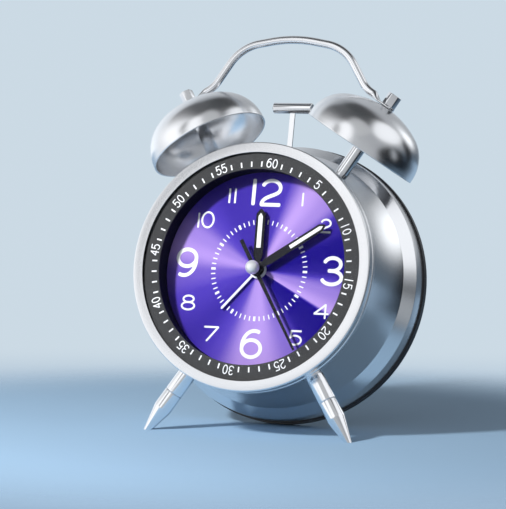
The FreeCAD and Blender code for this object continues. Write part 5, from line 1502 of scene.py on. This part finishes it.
def lay_floor(look):
    """A round floor that fades out from half its radius on, so that the room's floor shows."""
    bpy.ops.mesh.primitive_circle_add(vertices=128, radius=FLOOR_REACH, fill_type="NGON")
    floor = bpy.context.object
    floor.name = "floor"
    material, tree, shader = surface("Floor", tuple(look.floor), roughness=0.9)
    distance = node(tree, "VectorMath", {0: place_of(tree)}, operation="LENGTH").outputs["Value"]
    fade = eased(tree, distance, look.floor_radius / 2, look.floor_radius)
    blended(tree, fade, shader, node(tree, "BsdfTransparent"))
    floor.data.materials.append(material)


def light_room(scene, look):
    """The room round the clock, which lights matt surfaces by a share of what metal shows."""
    world = bpy.data.worlds.new("Room")
    scene.world = world
    world.use_nodes = True
    tree = world.node_tree
    background = tree.nodes["Background"]
    tree.links.new(room_light(tree, look), background.inputs["Color"])
    depth = node(tree, "LightPath").outputs["Diffuse Depth"]
    full = look.room_strength
    strength = between(tree, depth, full, full * look.fill_share)
    tree.links.new(strength, background.inputs["Strength"])


def hang_lamp(scene, look):
    """The lamp that throws the clock's shadows. Metal shows the room's soft boxes instead."""
    light = bpy.data.lights.new("key", "AREA")
    light.shape = "DISK"
    light.size = look.key_size
    light.energy = look.key_power
    holder = bpy.data.objects.new("key", light)
    scene.collection.objects.link(holder)
    aim = towards(math.degrees(look.key_azimuth), math.degrees(look.key_elevation))
    holder.location = LIT_POINT + aim * look.key_distance
    holder.rotation_euler = (-aim).to_track_quat("-Z", "Y").to_euler()
    holder.visible_glossy = False
    # Light reaches what lies behind the glass by shadow rays alone, so it isn't counted twice.
    holder.visible_transmission = False


def set_camera(scene):
    """The camera stands where the photograph was taken from, given in the clock's frame."""
    focal_pixels, long_side_pixels = 2600, 509
    place = Vector((400.7, -999.8, -151.8))
    right = Vector((0.9295, 0.3566, 0.0940))
    down = Vector((0.0350, 0.1683, -0.9851))
    ahead = Vector((-0.3671, 0.9190, 0.1439))
    camera = bpy.data.objects.new("camera", bpy.data.cameras.new("camera"))
    scene.collection.objects.link(camera)
    camera.data.lens = focal_pixels / long_side_pixels * camera.data.sensor_width
    facing = Matrix((right, -down, -ahead)).transposed()
    camera.matrix_world = Matrix.Translation(CLOCK @ place) @ (LEAN @ facing).to_4x4()
    camera.data.clip_start = 0.05
    camera.data.clip_end = 60
    scene.camera = camera
    scene.view_settings.view_transform = "Standard"


def stage_parts(scene):
    """Floor, room, lamp and camera."""
    look = scene.clock_stage
    lay_floor(look)
    light_room(scene, look)
    hang_lamp(scene, look)
    set_camera(scene)


# Operators, panel and main


class CLOCK_OT_packed_parts(Operator):
    """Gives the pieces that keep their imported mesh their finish."""

    bl_idname = "clock.packed_parts"
    bl_label = "Finish packed parts"
    bl_options = {"REGISTER", "UNDO"}

    def execute(self, context):
        packed_parts(context.scene)
        return {"FINISHED"}


class CLOCK_OT_front(Operator):
    """Makes the bezel, the glass and the case."""

    bl_idname = "clock.front"
    bl_label = "Make bezel, glass and case"
    bl_options = {"REGISTER", "UNDO"}

    def execute(self, context):
        front_parts(context.scene)
        return {"FINISHED"}


class CLOCK_OT_dial(Operator):
    """Makes the dial and the minute ring with their print."""

    bl_idname = "clock.dial"
    bl_label = "Make dial and minute ring"
    bl_options = {"REGISTER", "UNDO"}

    def execute(self, context):
        dial_parts(context.scene)
        return {"FINISHED"}


class CLOCK_OT_hands(Operator):
    """Makes the white fillings of the hands and the ball in their middle."""

    bl_idname = "clock.hands"
    bl_label = "Make hand fillings"
    bl_options = {"REGISTER", "UNDO"}

    def execute(self, context):
        hand_parts(context.scene)
        return {"FINISHED"}


class CLOCK_OT_bells(Operator):
    """Makes the bells, their nuts, the handle and the hammer's head."""

    bl_idname = "clock.bells"
    bl_label = "Make bells, handle and hammer"
    bl_options = {"REGISTER", "UNDO"}

    def execute(self, context):
        bell_parts(context.scene)
        return {"FINISHED"}


class CLOCK_OT_legs(Operator):
    """Makes the two legs and their coned feet."""

    bl_idname = "clock.legs"
    bl_label = "Make legs"
    bl_options = {"REGISTER", "UNDO"}

    def execute(self, context):
        leg_parts(context.scene)
        return {"FINISHED"}


class CLOCK_OT_stage(Operator):
    """Makes the floor, the lamp, the room and the camera."""

    bl_idname = "clock.stage"
    bl_label = "Make stage"
    bl_options = {"REGISTER", "UNDO"}

    def execute(self, context):
        stage_parts(context.scene)
        return {"FINISHED"}


OPERATORS = (
    CLOCK_OT_packed_parts,
    CLOCK_OT_front,
    CLOCK_OT_dial,
    CLOCK_OT_hands,
    CLOCK_OT_bells,
    CLOCK_OT_legs,
    CLOCK_OT_stage,
)


class CLOCK_PT_panel(Panel):
    """Lists the makers of the clock's pieces."""

    bl_idname = "CLOCK_PT_panel"
    bl_label = "Twin bell alarm clock"
    bl_space_type = "VIEW_3D"
    bl_region_type = "UI"
    bl_category = "Clock"

    def draw(self, context):
        for kind in OPERATORS:
            self.layout.operator(kind.bl_idname)
        for word, group in GROUPS.items():
            box = self.layout.box()
            for name in group.__annotations__:
                box.prop(getattr(context.scene, word), name)


CLASSES = (*GROUPS.values(), *OPERATORS, CLOCK_PT_panel)


def register():
    for kind in CLASSES:
        bpy.utils.register_class(kind)
    for word, group in GROUPS.items():
        setattr(bpy.types.Scene, word, PointerProperty(type=group))


def unregister():
    for word in GROUPS:
        delattr(bpy.types.Scene, word)
    for kind in reversed(CLASSES):
        bpy.utils.unregister_class(kind)


def main():
    register()
    for kind in OPERATORS:
        getattr(bpy.ops.clock, kind.bl_idname.split(".")[1])()


if __name__ == "__main__":
    main()
